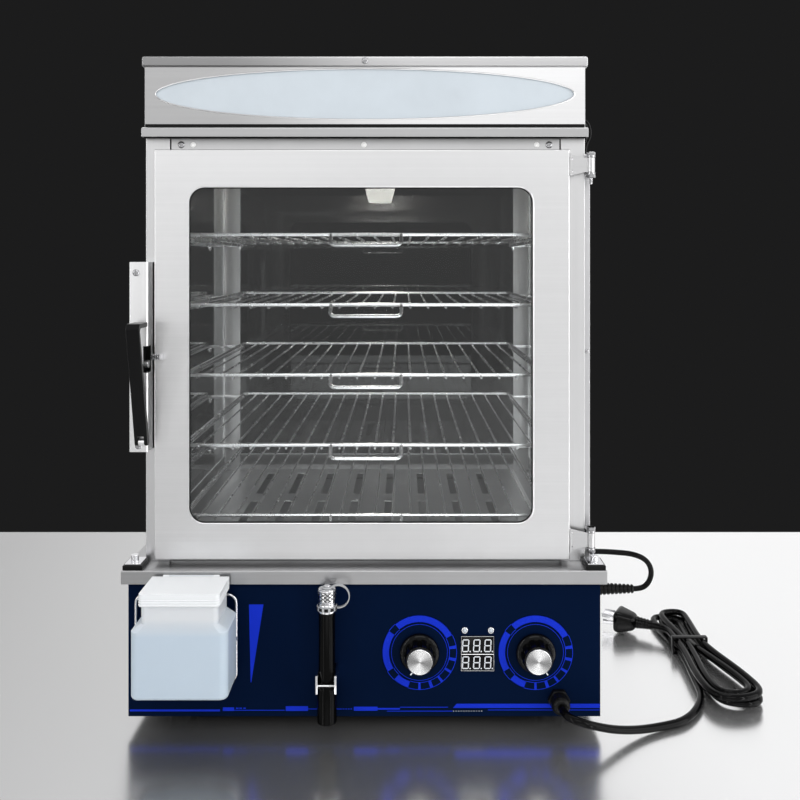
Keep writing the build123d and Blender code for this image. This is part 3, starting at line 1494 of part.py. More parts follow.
# Mains gland: hexagon against the panel and a domed nut, with a neck behind
gland_tip_y = panel_y - gland_length
with BuildPart() as mains_gland:
    with BuildSketch(Plane.XZ.offset(-panel_y)):
        with Locations((gland_x, gland_z)):
            RegularPolygon(gland_hex_radius, 6)
    extrude(amount=gland_hex_height)
    with BuildSketch(Plane.XZ.offset(-panel_y)):
        with Locations((gland_x, gland_z)):
            Circle(gland_dome_radius)
    extrude(amount=gland_length)
    chamfer(mains_gland.faces().sort_by(Axis.Y)[0].edges(), length=gland_dome_chamfer)
    with BuildSketch(Plane.XZ.offset(-panel_y)):
        with Locations((gland_x, gland_z)):
            Circle(gland_neck_radius)
    extrude(amount=-gland_neck_length)
mains_gland.part.label = "mains_gland"
export_step(mains_gland.part, "parts/mains_gland.step")

# Hank: the loops lie the same way. It spirals in on the lower layer, climbs along
# one run, and spirals out on the upper layer. Each pass is drawn in at the waist.
lower_z = cord_radius + hank_floor_gap
upper_z = lower_z + hank_layer


def hank_point(along, across, height):
    """A point in the hank's own directions, along its length and across it."""
    turn = radians(hank_front_turn if along < 0 else hank_back_turn)
    return (
        hank_x - along * sin(turn) + across * cos(turn),
        hank_y + along * cos(turn) + across * sin(turn),
        height,
    )


# One row for each pass: its side of the hank, how far it lies inside the outer
# lobe, its place at the waist, and its height at the start and the end
inner_waist = hank_waist_step / 2
outer_waist = 1.5 * hank_waist_step
hank_passes = [
    (-1, 0, outer_waist, lower_z, lower_z),
    (1, 0.5 * hank_step, outer_waist, lower_z, lower_z),
    (-1, hank_step, inner_waist, lower_z, lower_z),
    (1, 1.5 * hank_step, inner_waist, lower_z, upper_z),
    (-1, hank_step, inner_waist, upper_z, upper_z),
    (1, 0.5 * hank_step, outer_waist, upper_z, upper_z),
    (-1, 0, outer_waist, upper_z, upper_z),
]
hank_points = []
hank_radii = []
last_pass = len(hank_passes) - 1
for number, (side, inset, waist, start_z, end_z) in enumerate(hank_passes):
    to_back = number % 2 == 0
    heading = 1 if to_back else -1
    front = (hank_front_length, hank_front_lobe - inset)
    back = (hank_back_length, hank_back_lobe - inset)
    start_length, start_lobe = front if to_back else back
    end_length, end_lobe = back if to_back else front
    stations = [
        (-start_length - start_lobe, start_lobe, start_z, "lobe"),
        (-0.8 * start_length, start_lobe, start_z, "run"),
        (-0.2 * start_length, waist, start_z + 0.2 * (end_z - start_z), "run"),
        (0.2 * end_length, waist, start_z + 0.8 * (end_z - start_z), "run"),
        (0.8 * end_length, end_lobe, end_z, "run"),
        (end_length + end_lobe, end_lobe, end_z, "lobe"),
    ]
    if number == 0:
        stations = stations[1:]
    if number == last_pass:
        stations = stations[:4]
    for along, across, height, kind in stations:
        hank_points.append(hank_point(heading * along, side * across, height))
        hank_radii.append(kind)
tangents = [0]
for index in range(1, len(hank_points) - 1):
    before = (Vector(*hank_points[index]) - Vector(*hank_points[index - 1])).length
    after = (Vector(*hank_points[index + 1]) - Vector(*hank_points[index])).length
    if hank_radii[index] == "lobe":
        tangents.append(0.497 * (after if hank_radii[index + 1] == "lobe" else before))
    else:
        tangents.append(0.3 * min(before, after))
corner_radii = []
for index in range(1, len(hank_points) - 1):
    before = Vector(*hank_points[index]) - Vector(*hank_points[index - 1])
    after = Vector(*hank_points[index + 1]) - Vector(*hank_points[index])
    turn = radians(before.get_angle(after))
    corner_radii.append(tangents[index] / tan(turn / 2))
with BuildPart() as mains_hank:
    with BuildLine() as hank_path:
        FilletPolyline(*hank_points, radius=corner_radii)
    with BuildSketch(Plane(origin=hank_path.line @ 0, z_dir=hank_path.line % 0)):
        RegularPolygon(cord_radius, 6)
    sweep(path=hank_path.line)
mains_hank.part.label = "mains_hank"
export_step(mains_hank.part, "parts/mains_hank.step")

samples = [hank_path.line @ (n / 900) for n in range(901)]
least_gap = min(
    (samples[i] - samples[j]).length - 2 * cord_radius
    for i in range(0, 901)
    for j in range(i + 25, 901)
)
print(
    "hank length",
    round(hank_path.wire().length),
    "least gap to itself",
    round(least_gap, 2),
    "least radius",
    round(min(corner_radii), 1),
)

# Tie round the waist
tie_half = outer_waist + cord_radius + 2 * tie_gap
tie_bottom_z = lower_z - cord_radius - tie_gap
tie_top_z = upper_z + cord_radius + tie_gap
with BuildPart() as lead_tie:
    tie_origin = (hank_x + tie_shift, hank_y - tie_width / 2, (tie_bottom_z + tie_top_z) / 2)
    with BuildSketch(Plane(origin=tie_origin, x_dir=(1, 0, 0), z_dir=(0, 1, 0))):
        Rectangle(2 * (tie_half + tie_sheet), tie_top_z - tie_bottom_z + 2 * tie_sheet)
        Rectangle(2 * tie_half, tie_top_z - tie_bottom_z, mode=Mode.SUBTRACT)
    extrude(amount=tie_width)
lead_tie.part.label = "lead_tie"
export_step(lead_tie.part, "parts/lead_tie.step")

# Free stretch of the lead from the gland to the hank
hank_start = hank_path.line @ 0
hank_in = hank_path.line % 0
lead_join = hank_start - hank_in * 24
lead_points = [
    (gland_x, gland_tip_y, gland_z),
    (gland_x, gland_tip_y - 8.5, gland_z),
    (gland_x + 6, gland_tip_y - 17.5, gland_z - 1.5),
    (gland_x + 17, gland_tip_y - 21, gland_z - 4),
    (231, -228, 21.5),
    (252, -217, 13),
    (277, -204, 6.4),
    (303, -193, cord_radius + 0.2),
    (328, -183, cord_radius + 0.2),
    (349, -160, cord_radius + 0.8),
    tuple(lead_join),
    tuple(hank_start),
]
lead_radii = tube_radii(lead_points)
with BuildPart() as mains_lead:
    with BuildLine() as lead_path:
        FilletPolyline(*lead_points, radius=lead_radii)
    with BuildSketch(Plane(origin=lead_path.line @ 0, z_dir=lead_path.line % 0)):
        Circle(cord_radius)
    sweep(path=lead_path.line)
mains_lead.part.label = "mains_lead"
export_step(mains_lead.part, "parts/mains_lead.step")
print("lead radii", [round(r, 1) for r in lead_radii])
report_tube(
    "mains lead", lead_points, lead_radii, cord_radius, mains_lead.part, lead_path.wire().length
)

# Plug lying on the floor with three flat blades, and the tail from the hank to it
plug_x = 355
plug_y = 35
plug_lift = 15
plug_back = Vector(plug_x, plug_y, plug_lift)
plug_heading = Vector(-26, 14, 0).normalized()
plug_length = 46
plug_relief_length = 18
plug_relief_radius = 6.5
plug_width = 37
plug_height = 29
plug_corner = 9
blade_length = 17
blade_width = 6.3
blade_sheet = 1.6
blade_spread = 13.7
hank_end = hank_path.line @ 1
hank_out = hank_path.line % 1
tail_points = [
    tuple(hank_end),
    tuple(hank_end + hank_out * 11),
    (369.5, 24, 14.8),
    tuple(plug_back - plug_heading * 9),
    tuple(plug_back),
]
tail_radii = tube_radii(tail_points)
with BuildPart() as mains_tail:
    with BuildLine() as tail_path:
        FilletPolyline(*tail_points, radius=tail_radii)
    with BuildSketch(Plane(origin=tail_path.line @ 0, z_dir=tail_path.line % 0)):
        Circle(cord_radius)
    sweep(path=tail_path.line)
mains_tail.part.label = "mains_tail"
export_step(mains_tail.part, "parts/mains_tail.step")
print("tail radii", [round(r, 1) for r in tail_radii])
report_tube(
    "mains tail", tail_points, tail_radii, cord_radius, mains_tail.part, tail_path.wire().length
)

plug_side = (-plug_heading.Y, plug_heading.X, 0)
with BuildPart() as mains_plug:
    with BuildSketch(Plane(origin=plug_back, x_dir=plug_side, z_dir=plug_heading)):
        Circle(plug_relief_radius)
    extrude(amount=plug_relief_length)
    with BuildSketch(
        Plane(
            origin=plug_back + plug_heading * plug_relief_length,
            x_dir=plug_side,
            z_dir=plug_heading,
        )
    ):
        RectangleRounded(plug_width - 12, plug_height - 9, plug_corner - 3)
    with BuildSketch(
        Plane(
            origin=plug_back + plug_heading * (plug_length - 12),
            x_dir=plug_side,
            z_dir=plug_heading,
        )
    ):
        RectangleRounded(plug_width, plug_height, plug_corner)
    loft()
    with BuildSketch(
        Plane(
            origin=plug_back + plug_heading * (plug_length - 12),
            x_dir=plug_side,
            z_dir=plug_heading,
        )
    ):
        RectangleRounded(plug_width, plug_height, plug_corner)
    extrude(amount=12)
    with BuildSketch(
        Plane(
            origin=plug_back + plug_heading * plug_length,
            x_dir=plug_side,
            z_dir=plug_heading,
        )
    ):
        with Locations((-blade_spread / 2, 4)):
            Rectangle(blade_sheet, blade_width, rotation=30)
        with Locations((blade_spread / 2, 4)):
            Rectangle(blade_sheet, blade_width, rotation=-30)
        with Locations((0, -6.3)):
            Rectangle(blade_sheet, blade_width)
    extrude(amount=blade_length)
mains_plug.part.label = "mains_plug"
export_step(mains_plug.part, "parts/mains_plug.step")
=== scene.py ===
# %% [markdown]
# # A dumpling steamer, dressed step by step
# The imported model is the fixed frame: every piece below sits on its bodies and in
# its metres. This first cell loads it.

# %% Load the frame
import bpy
import json
from math import atan2, cos, degrees, hypot, pi, radians, sin
from mathutils import Matrix, Vector
from mathutils.bvhtree import BVHTree


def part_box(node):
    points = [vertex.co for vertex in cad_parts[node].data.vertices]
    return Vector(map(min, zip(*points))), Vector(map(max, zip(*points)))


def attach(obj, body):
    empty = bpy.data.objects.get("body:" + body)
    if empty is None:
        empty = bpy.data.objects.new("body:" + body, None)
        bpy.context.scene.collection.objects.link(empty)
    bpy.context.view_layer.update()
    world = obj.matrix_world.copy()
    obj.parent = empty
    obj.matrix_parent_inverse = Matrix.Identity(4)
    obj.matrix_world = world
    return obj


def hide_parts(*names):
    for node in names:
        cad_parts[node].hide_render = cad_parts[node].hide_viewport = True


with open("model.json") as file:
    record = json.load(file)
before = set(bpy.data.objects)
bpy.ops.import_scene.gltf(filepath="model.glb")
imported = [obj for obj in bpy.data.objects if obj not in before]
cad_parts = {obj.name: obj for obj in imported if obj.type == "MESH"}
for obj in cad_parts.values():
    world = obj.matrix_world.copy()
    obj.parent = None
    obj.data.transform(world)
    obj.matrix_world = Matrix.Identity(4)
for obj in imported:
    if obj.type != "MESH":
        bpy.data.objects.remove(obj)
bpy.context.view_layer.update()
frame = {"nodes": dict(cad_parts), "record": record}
nodes = frame["nodes"]

# %% [markdown]
# ## Camera
# The photograph is taken square to the front, from the height of the upper shelves.
# Upright edges stay upright, so the camera looks level, and a lens shift frames the
# base without tilting it.

# %% Camera
scene = bpy.context.scene
bpy.ops.object.camera_add(location=(0.0393, -1.105, 0.476), rotation=(radians(90), 0, 0))
camera = bpy.context.object
camera.name = "camera"
camera.data.sensor_width = 36
camera.data.lens = 40.4
camera.data.shift_x = -0.00375
camera.data.shift_y = -0.1725
scene.camera = camera
scene.view_settings.view_transform = "Standard"
print("camera at", tuple(camera.location))

# %% [markdown]
# ## Shader nodes
# The materials and the world are small networks of nodes. One helper adds a node, sets
# it up and feeds its inputs, and the others wrap the kinds that come back most.


# %% Node helpers
def feed(tree, node, inputs):
    """Set a node's inputs. A (node, socket) pair is linked, and anything else is a value."""
    for socket, value in inputs.items():
        if isinstance(value, tuple) and isinstance(value[0], bpy.types.Node):
            tree.links.new(value[0].outputs[value[1]], node.inputs[socket])
        else:
            node.inputs[socket].default_value = value


def add_node(tree, kind, inputs=None, **settings):
    """Add a shader node with these settings and inputs."""
    node = tree.nodes.new("ShaderNode" + kind)
    for key, value in settings.items():
        setattr(node, key, value)
    feed(tree, node, inputs or {})
    return node


def here(tree, kind="Object"):
    """The place that is shaded, in the object's own coordinates unless another kind is given."""
    return (add_node(tree, "TexCoord"), kind)


def parts_of(tree, vector):
    """A vector's X, Y and Z."""
    return add_node(tree, "SeparateXYZ", {0: vector})


def reckon(tree, operation, *values):
    """The result of one step of arithmetic, such as MULTIPLY_ADD."""
    return (add_node(tree, "Math", dict(enumerate(values)), operation=operation), 0)


def remap(tree, value, start, end, **settings):
    """A value taken from the range start to the range end."""
    limits = {"From Min": start[0], "From Max": start[1], "To Min": end[0], "To Max": end[1]}
    return (add_node(tree, "MapRange", {"Value": value, **limits}, **settings), "Result")


finishes = {}


def bare_finish(name, inputs):
    """A new material, kept in finishes under its name, with its node tree and its Principled shader."""
    finish = bpy.data.materials.new(name)
    finish.use_nodes = True
    finishes[name] = finish
    shader = finish.node_tree.nodes["Principled BSDF"]
    feed(finish.node_tree, shader, inputs)
    return finish, finish.node_tree, shader


# %% [markdown]
# ## Floor and light
# A pale tabletop with a soft gloss ends just behind the object, in front of a dark room.
# Its tone is painted darker to the left: painted shade, where the light falls off.
# Sheet steel shows what is around it, so the world is bright and even and does most
# of the lighting. Three soft boxes add direction, and two narrow strips draw the bright
# lines along the hose and the lead. The camera sees the world as dark, also through
# glass, and only mirrors and matt faces see it bright.

# %% Floor
bpy.ops.mesh.primitive_plane_add(size=1, location=(0, -1.26, 0))
floor = bpy.context.object
floor.name = "floor"
floor.scale = (9, 3.474, 1)
table, table_tree, table_shader = bare_finish("studio_floor", {"Roughness": 0.22, "Metallic": 0.9})
# Painted shade: the floor's tone falls from 1.0 at the right to 0.42 at the left.
painted_falloff = remap(table_tree, (parts_of(table_tree, here(table_tree)), "X"), (-0.07, 0.04), (0.42, 1.0))
painted_falloff_colour = add_node(table_tree, "CombineColor", {channel: painted_falloff for channel in ("Red", "Green", "Blue")})
feed(table_tree, table_shader, {"Base Color": (painted_falloff_colour, "Color")})
floor.data.materials.append(table)


# %% Lamps and world
def soft_box(name, place, aim, size, power):
    """A rectangular area lamp that points at a place."""
    bpy.ops.object.light_add(type="AREA", location=place)
    lamp = bpy.context.object
    lamp.name = name
    lamp.data.shape = "RECTANGLE"
    lamp.data.size, lamp.data.size_y = size
    lamp.data.energy = power
    turn = (Vector(aim) - Vector(place)).to_track_quat("-Z", "Y")
    lamp.rotation_euler = turn.to_euler()
    return lamp


soft_box("front_box", (0.2, -3.4, 2.6), (0, 0, 0.35), (2.4, 1.4), 26)
soft_box("right_box", (2.2, -0.9, 0.8), (0.2, 0, 0.2), (1.4, 1.4), 12)
for side in (-1, 1):
    soft_box("strip_box", (side * 1.7, -1.9, 0.9), (0, -0.1, 0.15), (0.10, 1.5), 7)
soft_box("top_box", (0, 0.1, 2.2), (0, 0, 0.3), (1.6, 0.7), 10)
world = bpy.data.worlds.new("studio")
scene.world = world
world.use_nodes = True
sky_tree = world.node_tree
sky = sky_tree.nodes["Background"]
direction = parts_of(sky_tree, here(sky_tree, "Generated"))
ramp = add_node(sky_tree, "ValToRGB", {"Fac": reckon(sky_tree, "MULTIPLY_ADD", (direction, "Z"), 0.5, 0.5)})
stops = ramp.color_ramp.elements
stops.new(0.52)
stop_colours = ((0.62, 0.62, 0.62), (1, 1, 1), (0.80, 0.80, 0.81))
for stop, place, colour in zip(stops, (0.30, 0.52, 0.86), stop_colours):
    stop.position = place
    stop.color = (*colour, 1)
behind = remap(sky_tree, (direction, "Y"), (0.0, 0.5), (0.86, 1.0))
feed(sky_tree, sky, {"Color": (ramp, "Color"), "Strength": behind})
path = add_node(sky_tree, "LightPath")
seen = reckon(sky_tree, "MAXIMUM", (path, "Is Camera Ray"), (path, "Is Transmission Ray"))
dark_room = add_node(sky_tree, "Background", {"Color": (0.0116, 0.0116, 0.0118, 1)})
choice = add_node(sky_tree, "MixShader", {0: seen, 1: (sky, 0), 2: (dark_room, 0)})
feed(sky_tree, sky_tree.nodes["World Output"], {"Surface": (choice, 0)})

# %% [markdown]
# ## Helpers for modelling
# An operator acts on all that is selected, and the loaded nodes come in selected, so
# each helper first clears the selection. A finished piece keeps its place in its mesh
# and its object at the origin.


# %% Selection and editing
def clear_selection():
    """Leave object mode with nothing selected."""
    if bpy.context.object and bpy.context.object.mode != "OBJECT":
        bpy.ops.object.mode_set(mode="OBJECT")
    bpy.ops.object.select_all(action="DESELECT")


def take(*pieces):
    """Select these pieces alone; the first is active."""
    clear_selection()
    for piece in pieces:
        piece.select_set(True)
    bpy.context.view_layer.objects.active = pieces[0]
    return pieces[0]


def open_on(piece, keep=None, kind="FACE"):
    """Open a piece in edit mode with only the chosen faces or points selected."""
    take(piece)
    bpy.ops.object.mode_set(mode="EDIT")
    bpy.ops.mesh.select_mode(type=kind)
    bpy.ops.mesh.select_all(action="DESELECT" if keep else "SELECT")
    if keep:
        bpy.ops.object.mode_set(mode="OBJECT")
        for part in piece.data.polygons if kind == "FACE" else piece.data.vertices:
            part.select = keep(part.center if kind == "FACE" else part.co, part)
        bpy.ops.object.mode_set(mode="EDIT")


def settle(piece):
    """Close edit mode and put the piece's place into its mesh."""
    take(piece)
    bpy.ops.object.transform_apply(location=True, rotation=True, scale=True)
    return piece


def modify(piece, kind, **values):
    """Add a modifier with these values and apply it."""
    take(piece)
    modifier = piece.modifiers.new(kind.lower(), kind)
    for key, value in values.items():
        setattr(modifier, key, value)
    bpy.ops.object.modifier_apply(modifier=modifier.name)
    return piece


def round_edges(piece, width, segments=2, angle=35):
    """A small round on every sharp edge, which catches the light."""
    return modify(
        piece, "BEVEL", width=width, segments=segments, limit_method="ANGLE", angle_limit=radians(angle)
    )


def join(name, pieces):
    """Join pieces into one object with this name."""
    take(*pieces)
    if len(pieces) > 1:
        bpy.ops.object.join()
    piece = bpy.context.view_layer.objects.active
    piece.name = name
    return settle(piece)


def twin(piece, name, shift=(0, 0, 0)):
    """A copy with its own mesh, moved by shift."""
    other = piece.copy()
    other.data = piece.data.copy()
    other.name = name
    for key in list(other.keys()):
        if key.startswith("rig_"):
            del other[key]
    other.parent = None
    bpy.context.scene.collection.objects.link(other)
    other.data.transform(Matrix.Translation(shift))
    return other


def hand_over(piece, body, finish, stands_for=(), smooth=40, even=False):
    """Give a finished piece its shading, material and body, and hide the nodes it stands for.

    With even, wide flat faces keep their own direction up to the rounded edge."""
    settle(piece)
    if smooth:
        bpy.ops.object.shade_smooth_by_angle(angle=radians(smooth))
    if even:
        modify(piece, "WEIGHTED_NORMAL", keep_sharp=True, weight=100)
    piece.data.materials.clear()
    piece.data.materials.append(finish)
    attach(piece, body)
    if stands_for:
        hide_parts(*stands_for)
    print(piece.name, "faces", len(piece.data.polygons))
    return piece


# %% Shapes that several pieces need
def block(name, low, high):
    """A box between two corners, as the start of a piece."""
    clear_selection()
    low, high = Vector(low), Vector(high)
    bpy.ops.mesh.primitive_cube_add(size=1, location=(low + high) / 2)
    piece = bpy.context.object
    piece.scale = high - low
    piece.name = name
    return settle(piece)


def stand_along(axis):
    """The turn that takes +Z to this axis."""
    return Vector((0, 0, 1)).rotation_difference(Vector(axis)).to_matrix().to_4x4()


def from_points(name, points, edges, faces):
    """A piece made of points with edges or faces between them."""
    mesh = bpy.data.meshes.new(name)
    mesh.from_pydata(points, edges, faces)
    piece = bpy.data.objects.new(name, mesh)
    bpy.context.scene.collection.objects.link(piece)
    return piece


def turned(name, profile, place, axis=(0, 0, 1), steps=32):
    """A lathe-turned piece: the profile's (radius, height) points go once round the axis."""
    clear_selection()
    points = [(radius, 0, height) for radius, height in profile]
    piece = from_points(name, points, [(n, n + 1) for n in range(len(points) - 1)], [])
    open_on(piece)
    bpy.ops.mesh.spin(steps=steps, angle=2 * pi, center=(0, 0, 0), axis=(0, 0, 1))
    bpy.ops.mesh.select_all(action="SELECT")
    bpy.ops.mesh.remove_doubles(threshold=1e-6)
    bpy.ops.mesh.normals_make_consistent(inside=False)
    clear_selection()
    piece.data.transform(Matrix.Translation(place) @ stand_along(axis))
    return piece


def tube(name, kind, points, radius, sides, caps=True):
    """A curve of one spline with these points, bevelled to a round tube."""
    clear_selection()
    line = bpy.data.curves.new(name, "CURVE")
    line.dimensions = "3D"
    line.resolution_u = 8
    line.bevel_depth = radius
    line.bevel_resolution = sides
    line.use_fill_caps = caps
    spline = line.splines.new(kind)
    spline.points.add(len(points) - 1)
    for point, place in zip(spline.points, points):
        point.co = (*place, 1)
    piece = bpy.data.objects.new(name, line)
    bpy.context.scene.collection.objects.link(piece)
    return piece, spline


def rod(name, points, radius, closed=False, sides=2):
    """A round bar along points."""
    piece, spline = tube(name, "POLY", points, radius, sides, not closed)
    spline.use_cyclic_u = closed
    take(piece)
    bpy.ops.object.convert(target="MESH")
    return settle(bpy.context.object)


def bent(points, radius, steps=6, closed=False):
    """The points of a bar's line, with each corner bent to this radius."""
    out = []
    count = len(points)
    for n, here in enumerate(points):
        if not closed and n in (0, count - 1):
            out.append(tuple(here))
            continue
        here = Vector(here)
        back = (Vector(points[n - 1]) - here).normalized()
        on = (Vector(points[(n + 1) % count]) - here).normalized()
        half = back.angle(on) / 2
        reach = radius / max(1e-6, abs(sin(half) / cos(half)))
        centre = here + (back + on).normalized() * (radius / sin(half))
        start, end = here + back * reach - centre, here + on * reach - centre
        for k in range(steps + 1):
            out.append(tuple(centre + start.normalized().slerp(end.normalized(), k / steps) * radius))
    return out


def fair_copy(node, width, segments=2, angle=35):
    """A clean copy of a CAD node: points merged, flat faces joined, sharp edges rounded."""
    piece = twin(nodes[node], node + "_sheet")
    open_on(piece)
    bpy.ops.mesh.remove_doubles(threshold=2e-6)
    bpy.ops.mesh.dissolve_limited(angle_limit=radians(0.5))
    clear_selection()
    return round_edges(piece, width, segments, angle)


# %% [markdown]
# ## Finishes
# Almost everything is bare stainless steel with a fine brushed grain. The grain is one
# shader group, used by the steel, the chrome and the spun metal with their own scale
# and strength. A second group adds the uneven film that hands and steam leave, and a
# third paints a broad sheen across a wide sheet: painted light, a tone rising from left to right.

# %% Shader groups
plain_grey = (0.7, 0.7, 0.7, 1)


def open_group(name, inputs):
    """A new shader group. Each input's first value gives its kind: number, vector or colour."""
    tree = bpy.data.node_groups.new(name, "ShaderNodeTree")
    kinds = {3: "NodeSocketVector", 4: "NodeSocketColor"}
    for socket, value in inputs.items():
        kind = kinds[len(value)] if isinstance(value, tuple) else "NodeSocketFloat"
        tree.interface.new_socket(socket, in_out="INPUT", socket_type=kind).default_value = value
    return tree, tree.nodes.new("NodeGroupInput")


def close_group(tree, outputs):
    """Give a shader group its outputs: a colour called Colour, and numbers."""
    for socket in outputs:
        kind = "NodeSocketColor" if socket == "Colour" else "NodeSocketFloat"
        tree.interface.new_socket(socket, in_out="OUTPUT", socket_type=kind)
    feed(tree, tree.nodes.new("NodeGroupOutput"), outputs)
    return tree


def scaled(tree, colour, factor):
    """A colour times a number."""
    return (add_node(tree, "VectorMath", {0: colour, "Scale": factor}, operation="SCALE"), 0)


def build_grain_group():
    """Brushed grain: noise stretched along one direction."""
    first_values = {"Stretch": (2, 2, 600), "Roughness": 0.3, "Spread": 0.12, "Colour": plain_grey}
    tree, given = open_group("brushed_grain", first_values)
    stretch = add_node(tree, "VectorMath", {0: here(tree), 1: (given, "Stretch")}, operation="MULTIPLY")
    noise = add_node(tree, "TexNoise", {"Vector": (stretch, 0), "Scale": 1, "Detail": 5})
    centred = reckon(tree, "SUBTRACT", (noise, "Fac"), 0.5)
    rough = reckon(tree, "MULTIPLY_ADD", centred, (given, "Spread"), (given, "Roughness"))
    tone = remap(tree, (noise, "Fac"), (0, 1), (0.95, 1.03))
    colour = scaled(tree, (given, "Colour"), tone)
    return close_group(tree, {"Roughness": rough, "Height": (noise, "Fac"), "Colour": colour})


def build_film_group():
    """Uneven film: a soft cloud that lifts the roughness and dulls the tone in places."""
    first_values = {"Scale": 9.0, "Amount": 0.08, "Colour": plain_grey, "Roughness": 0.3}
    tree, given = open_group("handled_film", first_values)
    cloud = {"Vector": here(tree), "Scale": (given, "Scale"), "Detail": 4, "Roughness": 0.6}
    mask = remap(tree, (add_node(tree, "TexNoise", cloud), "Fac"), (0.42, 0.72), (0, 1))
    rough = reckon(tree, "MULTIPLY_ADD", mask, (given, "Amount"), (given, "Roughness"))
    dulled = scaled(tree, (given, "Colour"), reckon(tree, "MULTIPLY_ADD", mask, -0.07, 1.0))
    return close_group(tree, {"Colour": dulled, "Roughness": rough})


def build_painted_sheen_group():
    """Painted sheen of a wide sheet: painted light, a tone that rises slowly from left to right."""
    tree, given = open_group("painted_sheen", {"Left": 1.0, "Right": 1.0, "Colour": plain_grey})
    across = (parts_of(tree, here(tree)), "X")
    tones = ((given, "Left"), (given, "Right"))
    rise = remap(tree, across, (-0.16, 0.07), tones, interpolation_type="SMOOTHSTEP")
    return close_group(tree, {"Colour": scaled(tree, (given, "Colour"), rise)})


grain_group = build_grain_group()
film_group = build_film_group()
painted_sheen_group = build_painted_sheen_group()


# %% Finishes made from them
def relief(tree, height, strength):
    """A bump up to a fifth of a millimetre high."""
    return (add_node(tree, "Bump", {"Height": height, "Strength": strength, "Distance": 0.0002}), "Normal")


def metal(name, colour, roughness, stretch, spread=0.1, bump=0.04, film=0.06, sheen=None):
    """Bare metal with a grain along its least stretched axes.

    A sheen is a pair of factors for the left and the right of a wide sheet: a painted sheen, which is painted
    light."""
    finish, tree, shader = bare_finish(name, {"Metallic": 1})
    look = {"Stretch": stretch, "Roughness": roughness, "Spread": spread, "Colour": (*colour, 1)}
    grain = add_node(tree, "Group", look, node_tree=grain_group)
    look = {"Scale": 7.0, "Amount": film, "Colour": (grain, "Colour"), "Roughness": (grain, "Roughness")}
    top = coat = add_node(tree, "Group", look, node_tree=film_group)
    if sheen:
        look = {"Left": sheen[0], "Right": sheen[1], "Colour": (coat, "Colour")}
        top = add_node(tree, "Group", look, node_tree=painted_sheen_group)
    feed(tree, shader, {
        "Base Color": (top, "Colour"), "Roughness": (coat, "Roughness"),
        "Normal": relief(tree, (grain, "Height"), bump),
    })
    return finish


def chromed(name, colour, roughness, film=0.05):
    """Chrome or drawn wire, with a fine even grain."""
    return metal(name, colour, roughness, (60, 60, 60), spread=0.05, bump=0.02, film=film)


def moulded(name, colour, roughness, film=0.08, bump=0.05, scale=400.0, shine=0.5, cloud=14.0, glow=None):
    """Plastic, rubber or paint: an uneven film over a fine moulded grain.

    Cloud is the scale of the film, and a glow is a colour and its strength."""
    finish, tree, shader = bare_finish(name, {"Specular IOR Level": shine})
    look = {"Scale": cloud, "Amount": film, "Roughness": roughness, "Colour": (*colour, 1)}
    cover = add_node(tree, "Group", look, node_tree=film_group)
    noise = add_node(tree, "TexNoise", {"Vector": here(tree), "Scale": scale, "Detail": 3})
    feed(tree, shader, {
        "Base Color": (cover, "Colour"), "Roughness": (cover, "Roughness"),
        "Normal": relief(tree, (noise, "Fac"), bump),
    })
    if glow:
        feed(tree, shader, {"Emission Color": (*glow[0], 1), "Emission Strength": glow[1]})
    return finish


def grey(tone, blue=0.005):
    """A grey with a touch of blue."""
    return (tone, tone, tone + blue)


level, upright = (3, 3, 700), (700, 700, 3)
# Plain steel is 0.78. The sign's copy is lighter, and the lid's, rails', rim's and roof's copies are darker,
# for the light each sheet gets: painted light and painted shade. The door, sign and lid also carry a painted
# sheen.
steel = metal("stainless_steel", grey(0.78), 0.30, level)
steel_door_painted_sheen = metal("stainless_steel_door_painted_sheen", grey(0.77), 0.34, level, sheen=(1.08, 1.0))
steel_latch = metal("stainless_steel_latch", grey(0.95), 0.32, upright)
steel_sign_painted_light = metal("stainless_steel_sign_painted_light", grey(0.86), 0.30, level, sheen=(0.58, 1.0))
steel_lid_painted_shade = metal("stainless_steel_lid_painted_shade", grey(0.62), 0.30, level, sheen=(0.50, 1.0))
steel_rail_painted_shade = metal("stainless_steel_rail_painted_shade", grey(0.64), 0.32, level)
steel_rim_painted_shade = metal("stainless_steel_rim_painted_shade", grey(0.46), 0.30, level)
steel_roof_painted_shade = metal("stainless_steel_roof_painted_shade", grey(0.52), 0.30, level)
steel_upright = metal("stainless_steel_upright", grey(0.74), 0.30, upright)
chrome = chromed("bright_chrome", grey(0.80, 0.02), 0.10)
dull_chrome = chromed("dull_chrome", grey(0.46, 0.01), 0.14)
bar_chrome = chromed("drawn_wire", grey(0.97, 0.01), 0.26, film=0.03)
spun = metal("spun_aluminium", grey(0.80, 0.01), 0.26, (300, 300, 300))
duct_metal = metal("duct_aluminium", grey(0.62, 0.01), 0.34, (500, 500, 3))
navy = moulded("navy_panel", (0.0010, 0.0062, 0.026), 0.42, film=0.04, bump=0.015, shine=0.02)
print_blue = moulded("blue_print", (0.009, 0.032, 0.56), 0.42, film=0.04, bump=0.02, shine=0.03)
print_white = moulded("white_print", (0.75, 0.78, 0.82), 0.4, bump=0.02)
black_gloss = moulded(
    "black_gloss_plastic", grey(0.002, 0.0002), 0.11, film=0.03, bump=0.01, scale=250, shine=0.16
)
black_matte = moulded("black_matte_plastic", grey(0.004, 0.0003), 0.30, bump=0.06, shine=0.15)
rubber = moulded("black_rubber", grey(0.005, 0), 0.30, bump=0.06, shine=0.15)
hose_rubber = moulded("hose_rubber", grey(0.0012, 0), 0.09, film=0.02, bump=0.004, shine=0.07)
flex = moulded("cord_rubber", grey(0.002, 0.0002), 0.09, film=0.02, bump=0.01, scale=600, shine=0.10)
moulded("white_plastic", (0.72, 0.72, 0.70), 0.4)
moulded("silicone", (0.55, 0.56, 0.57), 0.5)
